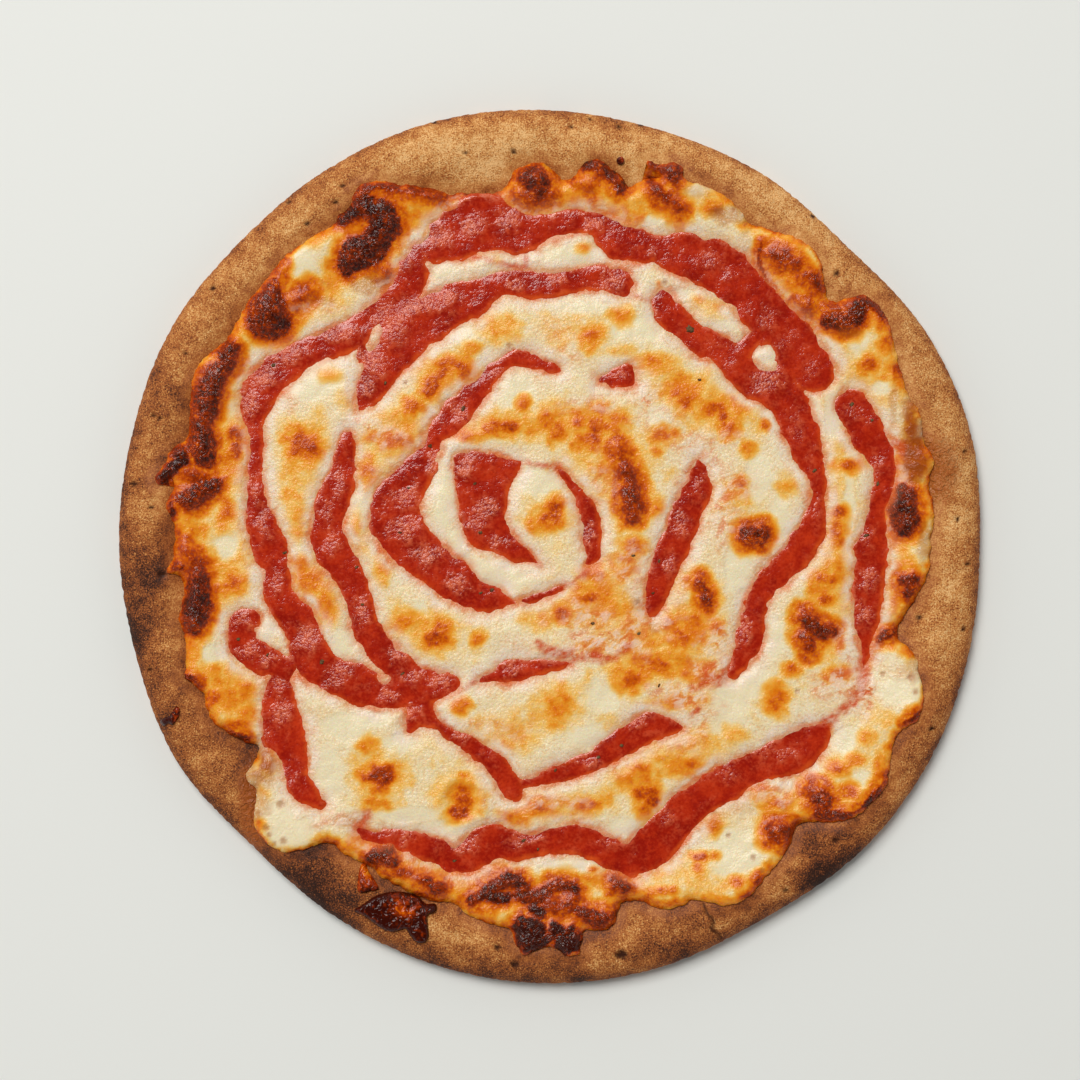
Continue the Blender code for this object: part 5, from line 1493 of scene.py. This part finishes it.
# ================================================================ pieces
def make_crust(material):
    """Rings from the middle of the base out, over the rim, and in under the cheese."""
    rings = [*CRUST_UNDERSIDE, *CRUST_SIDE, *((inset, None) for inset in CRUST_TOP_INSETS)]
    start_clean()
    bpy.ops.mesh.primitive_circle_add(
        vertices=CRUST_POINTS_ROUND, radius=START_RADIUS * MM, fill_type="NGON"
    )
    obj = bpy.context.object
    obj.name = obj.data.name = "baked_crust"
    with edit_mode("EDGE", "SELECT"):
        for _ in rings[1:]:
            bpy.ops.mesh.extrude_edges_move()
        bpy.ops.mesh.edge_face_add()
    mesh = obj.data
    points = read_points(mesh)
    angle = np.arctan2(points[:CRUST_POINTS_ROUND, 1], points[:CRUST_POINTS_ROUND, 0])
    outer = rim_radius(angle)
    ragged_edge = -0.10 - 0.42 * np.abs(ripple(angle * CRUST_RADIUS, angle * 0, 3.0, 51, 2))
    for index, (inset, height) in enumerate(rings):
        on_edge = 1 - eased(np.array(inset), 1.5, 6.0)
        radius = outer - inset + ragged_edge * on_edge
        x, y = radius * np.cos(angle), radius * np.sin(angle)
        block = slice(index * CRUST_POINTS_ROUND, (index + 1) * CRUST_POINTS_ROUND)
        z = np.full_like(x, height) if height is not None else crust_top(x, y)
        points[block] = np.stack([x, y, z], 1)
    x, y, z = points.T
    inset = rim_inset(x, y)
    upper = (np.arange(len(x)) >= len(CRUST_UNDERSIDE) * CRUST_POINTS_ROUND).astype(float)
    pit = np.zeros_like(x)
    for px, py, radius in PITS:
        close = oval(x, y, px, py, radius, radius * 0.8) * (1 + 0.3 * ripple(x, y, 1.5, 52))
        pit = np.maximum(pit, 1 - eased(close, 0.6, 1.2))
    crack = stroke_distance(CRACK)(x, y) + 0.2 * ripple(x, y, 1.4, 53)
    pit = np.maximum(pit, 0.8 * (1 - eased(crack, -0.1, 0.5))) * upper
    edge = cheese_edge_distance(x, y)
    grease = (1 - eased(edge, 1.0, 7.0)) * upper
    coarse = 0.16 * ripple(x, y, 2.4, 54, 2) + 0.28 * ripple(x, y, 7.0, 55)
    z += upper * eased(inset, 0.3, 3.0) * (coarse * (1 - 0.6 * grease) - PIT_DEPTH * pit)
    points[:, 2] = z
    write_points(mesh, points)
    round_about = np.arctan2(y, x)
    toast = 0.43 - 0.13 * np.sin(round_about) - 0.06 * np.cos(round_about)
    # Darker at the outer edge: partly browner baking, partly painted shade where the edge curves
    # down
    toast += 0.18 * (1 - eased(inset, 0.0, 6.0)) * (1 + 0.9 * ripple(x, y, 9.0, 58, 2))
    toast += 0.10 * ripple(x, y, 16.0, 56, 2) - 0.04 * eased(inset, 5.0, 12.0) + 0.10 * grease
    for bx, by, half_long, half_wide, turn, change in BAKED:
        shape = oval(x, y, bx, by, half_long, half_wide, turn) * (1 + 0.3 * ripple(x, y, 8.0, 57))
        toast += change * (1 - eased(shape, 0.2, 1.4))
    oil = np.max([1 - eased(oval(x, y, *place), 0.6, 1.2) for place in OILED], axis=0)
    add_values(mesh, toast=toast, grease=grease, pit=pit, oil=oil)
    with edit_mode("EDGE"):
        turn_outwards()
    finish_piece(obj, material, "crust", "crust")


def make_cheese(material):
    """The whole sheet of cheese: its top with the stored values, and its closed underside."""
    def edge_distance(x, y):
        return cheese_edge_distance(x, y) + 0.5 * ripple(x, y, 3.0, 61, 2)

    def underside(x, y, shrink):
        x, y = x * shrink, y * shrink
        return x, y, crust_top(x, y) + CHEESE_UNDERSIDE_GAP

    obj = cut_sheet("melted_cheese", *CHEESE_SHEET, CHEESE_STEP, edge_distance)
    points = read_points(obj.data)
    x, y = points[:, 0], points[:, 1]
    edge = edge_distance(x, y)
    rim = border_points(obj.data) > 0
    edge[rim] = 0.0
    sauce = any_sauce_distance(x, y)
    brown, rise, pocket = browning(x, y)
    margin = 0.46 * (1 - eased(-edge, 0.5, 7.0)) * (1 + 0.6 * ripple(x, y, 7.0, 62, 2))
    wobble = 1 + 0.5 * ripple(x, y, 8.0, 65, 2)
    sheer = patches(x, y, SHEER, wobble, 0.5, 1.3)
    margin *= (1 - 0.85 * pocket) * (1 - 0.8 * sheer)
    rim_line = 0.62 * (1 - eased(-edge, 0.2, 1.8)) * eased(ripple(x, y, 9.0, 64, 3), -0.3, 0.4)
    rim_line *= 1 - 0.7 * sheer
    brown = np.maximum(brown, np.maximum(margin, rim_line))
    points[:, 2] = cheese_top(x, y, edge, sauce, brown, rise, pocket)
    write_points(obj.data, points)
    blotch = 0.5 + 0.5 * ripple(x, y, 11.0, 63, 2)
    stain = patches(x, y, STAINED, wobble, 0.3, 1.3)
    near = 0.5 * (1 - eased(sauce, 0.3, 5.0)) * (0.3 + blotch)
    stain = np.clip(np.maximum(stain, near) * (1 - 0.4 * pocket), 0, 1)
    thin = np.clip((1 - eased(sauce, 0.2, 3.4)) * (0.4 + 0.8 * blotch), 0, 1) * (1 - 0.5 * pocket)
    # Milky band just beyond the pink: partly pale cheese, partly a painted highlight on the crests
    # of the pillows
    milk = eased(sauce, 0.6, 1.8) * (1 - eased(sauce, 2.2, 6.0))
    milk = np.clip(milk * (0.5 + 1.1 * ripple(x, y, 9.0, 67, 2)), 0, 1) * (1 - sheer)
    hole = np.zeros_like(x)
    for spot_x, spot_y, radius in BUBBLES:
        out = np.hypot(x - spot_x, y - spot_y) / radius
        hole = np.maximum(hole, 1 - eased(out, 0.7, 1.5))
    fringe = (1 - eased(sauce, 0.1, 1.3)) * np.clip(0.35 + 0.9 * (blotch - 0.3), 0, 1)
    smear = np.zeros_like(x)
    for stroke in SMEARS:
        gap = stroke_distance(stroke, 6.0)(x, y) + 0.9 * ripple(x, y, 2.4, 66, 2)
        smear = np.maximum(smear, 1 - eased(gap, -1.1, 1.5))
    add_values(obj.data, brown=brown, stain=stain, fringe=fringe, smear=smear, pocket=pocket,
               thin=thin, sheer=sheer, hole=hole, milk=milk)
    for shrink in CHEESE_SHRINKS:
        extend_border(obj, lambda x, y: underside(x, y, shrink))
    extend_border(obj, lambda x, y: underside(x, y, CHEESE_INNER_RADIUS / np.hypot(x, y)))
    close_border()
    finish_piece(obj, material, "cheese", "cheese")


def make_sauce(name, material):
    """One patch of sauce: a low dome along its strokes, with its foot under the cheese."""
    strokes = SAUCE_STROKES.get(name, (HEART,))
    outline = np.concatenate([np.array(stroke, float)[:, :2] for stroke in strokes])
    low, high = outline.min(0) - SAUCE_MARGIN, outline.max(0) + SAUCE_MARGIN

    def foot_distance(x, y):
        return sauce_distance(name, x, y, with_islands=False) - FOOT_REACH

    def underside(x, y):
        return x, y, crust_top(x, y) + CHEESE_GAP + cheese_thickness(x, y) - FOOT_DEPTH

    obj = cut_sheet(name + "_pulp", low, high, SAUCE_STEP, foot_distance)
    points = read_points(obj.data)
    x, y = points[:, 0], points[:, 1]
    distance = sauce_distance(name, x, y)
    points[:, 2], rippled = sauce_top(x, y, distance)
    write_points(obj.data, points)
    lit, shaded = border_sides(name, x, y, distance)
    blotch = 0.75 + 0.5 * ripple(x, y, 6.0, 71, 2)
    # Painted sheen: pink along the borders that face the window at the upper left; oily orange along
    # the others and all round the very edge
    film = (1 - eased(-distance, 0.0, 1.8)) * lit * blotch
    warm = (1 - eased(-distance, 0.0, 1.9)) * shaded * blotch
    warm = np.maximum(warm, 0.7 * (1 - eased(-distance, -0.3, 1.1)))
    film, warm = np.clip(film, 0, 1), np.clip(warm, 0, 1)
    add_values(obj.data, film=film, warm=warm, rippled=rippled)
    extend_border(obj, underside)
    close_border()
    finish_piece(obj, material, "sauce", name)


def make_crumb(name, outline, thick, level, glow, material, *nodes):
    """A crumpled piece of burnt cheese that lies on the rim, redder around its glow."""
    edge_distance = loop_distance(outline)
    corners = np.array(outline, float)
    low, high = corners.min(0) - 1.0, corners.max(0) + 1.0
    obj = cut_sheet(name, low, high, CRUMB_STEP, edge_distance)
    points = read_points(obj.data)
    x, y = points[:, 0], points[:, 1]
    edge = np.clip(-edge_distance(x, y), 0, None)
    rounded = np.sqrt(1 - (1 - np.clip(edge / CRUMB_ROUNDING, 0, 1)) ** 2)
    full = CRUMB_EDGE_THICK + (thick - CRUMB_EDGE_THICK) * rounded
    folds = 0.55 * np.abs(ripple(x, y, 4.5, 81, 2)) + 0.3 * ripple(x, y, 2.2, 82)
    points[:, 2] = under_ceiling(crust_top(x, y) + CRUMB_GAP + full * (1 + 0.5 * folds))
    write_points(obj.data, points)
    glow_x, glow_y, radius = glow
    redder = np.exp(-((x - glow_x) ** 2 + (y - glow_y) ** 2) / radius**2)
    add_values(obj.data, brown=level - 0.34 * redder + 0.12 * ripple(x, y, 5.0, 83))
    extend_border(obj, lambda x, y: (x, y, crust_top(x, y) + CRUMB_UNDERSIDE_GAP))
    close_border()
    finish_piece(obj, material, "burnt_cheese", *nodes)


def make_herbs(material):
    """Dried herb flecks and pepper grains, each a small flat chip pressed into the top."""
    draw = np.random.RandomState(5)
    chips = []
    for x, y, length, turn in HERBS:
        start_clean()
        bpy.ops.mesh.primitive_ico_sphere_add(subdivisions=2, radius=0.5 * MM)
        chip = bpy.context.object
        points = read_points(chip.data)
        points *= 1 + 0.4 * draw.uniform(-1, 1, (len(points), 1))
        points *= [length, length * draw.uniform(0.5, 0.8), CHIP_THICK]
        c, s = math.cos(math.radians(turn)), math.sin(math.radians(turn))
        points[:, :2] = points[:, :2] @ np.array([[c, s], [-s, c]])
        points += [x, y, top_height(x, y) + 0.1]
        write_points(chip.data, points)
        chips.append(chip)
    start_clean()
    for chip in chips:
        chip.select_set(True)
    bpy.context.view_layer.objects.active = chips[0]
    bpy.ops.object.join()
    obj = bpy.context.object
    obj.name = obj.data.name = "herb_flecks"
    finish_piece(obj, material, "sauce")


def make_floor(material):
    """The plain surface that the food lies on, which is no part of the food."""
    start_clean()
    bpy.ops.mesh.primitive_plane_add(size=FLOOR_WIDTH)
    floor = bpy.context.object
    floor.name = "floor"
    floor.data.materials.append(material)


def make_window():
    """A soft square lamp at the upper left that points at the middle of the food."""
    data = bpy.data.lights.new("window", "AREA")
    data.shape = "SQUARE"
    data.size = WINDOW_WIDTH
    data.energy = WINDOW_POWER
    data.color = DAYLIGHT
    lamp = bpy.data.objects.new("window", data)
    lamp.location = WINDOW_PLACE
    lamp.rotation_euler = (-Vector(WINDOW_PLACE)).to_track_quat("-Z", "Y").to_euler()
    bpy.context.scene.collection.objects.link(lamp)


def make_room():
    """A world that is pale low down and dark overhead."""
    world = bpy.data.worlds.new("pale_room")
    world.use_nodes = True
    tree = world.node_tree
    heading = put(tree, "ShaderNodeTexCoord").outputs["Generated"]
    upward = put(tree, "ShaderNodeSeparateXYZ", {"Vector": heading}).outputs["Z"]
    glow = fade(tree, upward, 0.2, 0.85, ROOM_GLOW, ROOM_GLOW * OVERHEAD_SHARE)
    fill(tree, tree.nodes["Background"], {"Color": (*DAYLIGHT, 1), "Strength": glow})
    bpy.context.scene.world = world


def make_camera():
    """A camera straight overhead."""
    scene = bpy.context.scene
    data = bpy.data.cameras.new("overhead")
    data.lens = LENS_MM
    data.sensor_width = SENSOR_MM
    data.clip_start = 0.01
    camera = bpy.data.objects.new("overhead", data)
    distance = FRAME_WIDTH * LENS_MM / SENSOR_MM
    camera.location = [place * MM for place in (*VIEW_CENTRE, VIEW_PLANE + distance)]
    scene.collection.objects.link(camera)
    scene.camera = camera


# ================================================================ the whole scene
bpy.context.scene.view_settings.view_transform = "Standard"
make_room()
make_window()
make_camera()
make_floor(make_floor_material())
make_crust(make_crust_material())
make_cheese(make_cheese_material())
sauce_material = make_sauce_material()
for sauce_name in SAUCE_PATCHES:
    make_sauce(sauce_name, sauce_material)
burnt_material = make_burnt_material()
make_crumb("burnt_shard_skin", BURNT_SHARD, 2.2, 1.02, SHARD_GLOW, burnt_material, "burnt_shard")
make_crumb("burnt_splinter", SMALL_SHARD, 1.4, 0.86, SPLINTER_GLOW, burnt_material)
make_crumb("char_crumb", CHAR_CRUMB, 1.0, 0.97, NO_GLOW, burnt_material)
make_crumb("rim_speck", RIM_SPECK, 0.5, 0.86, NO_GLOW, burnt_material)
make_herbs(make_herb_material())
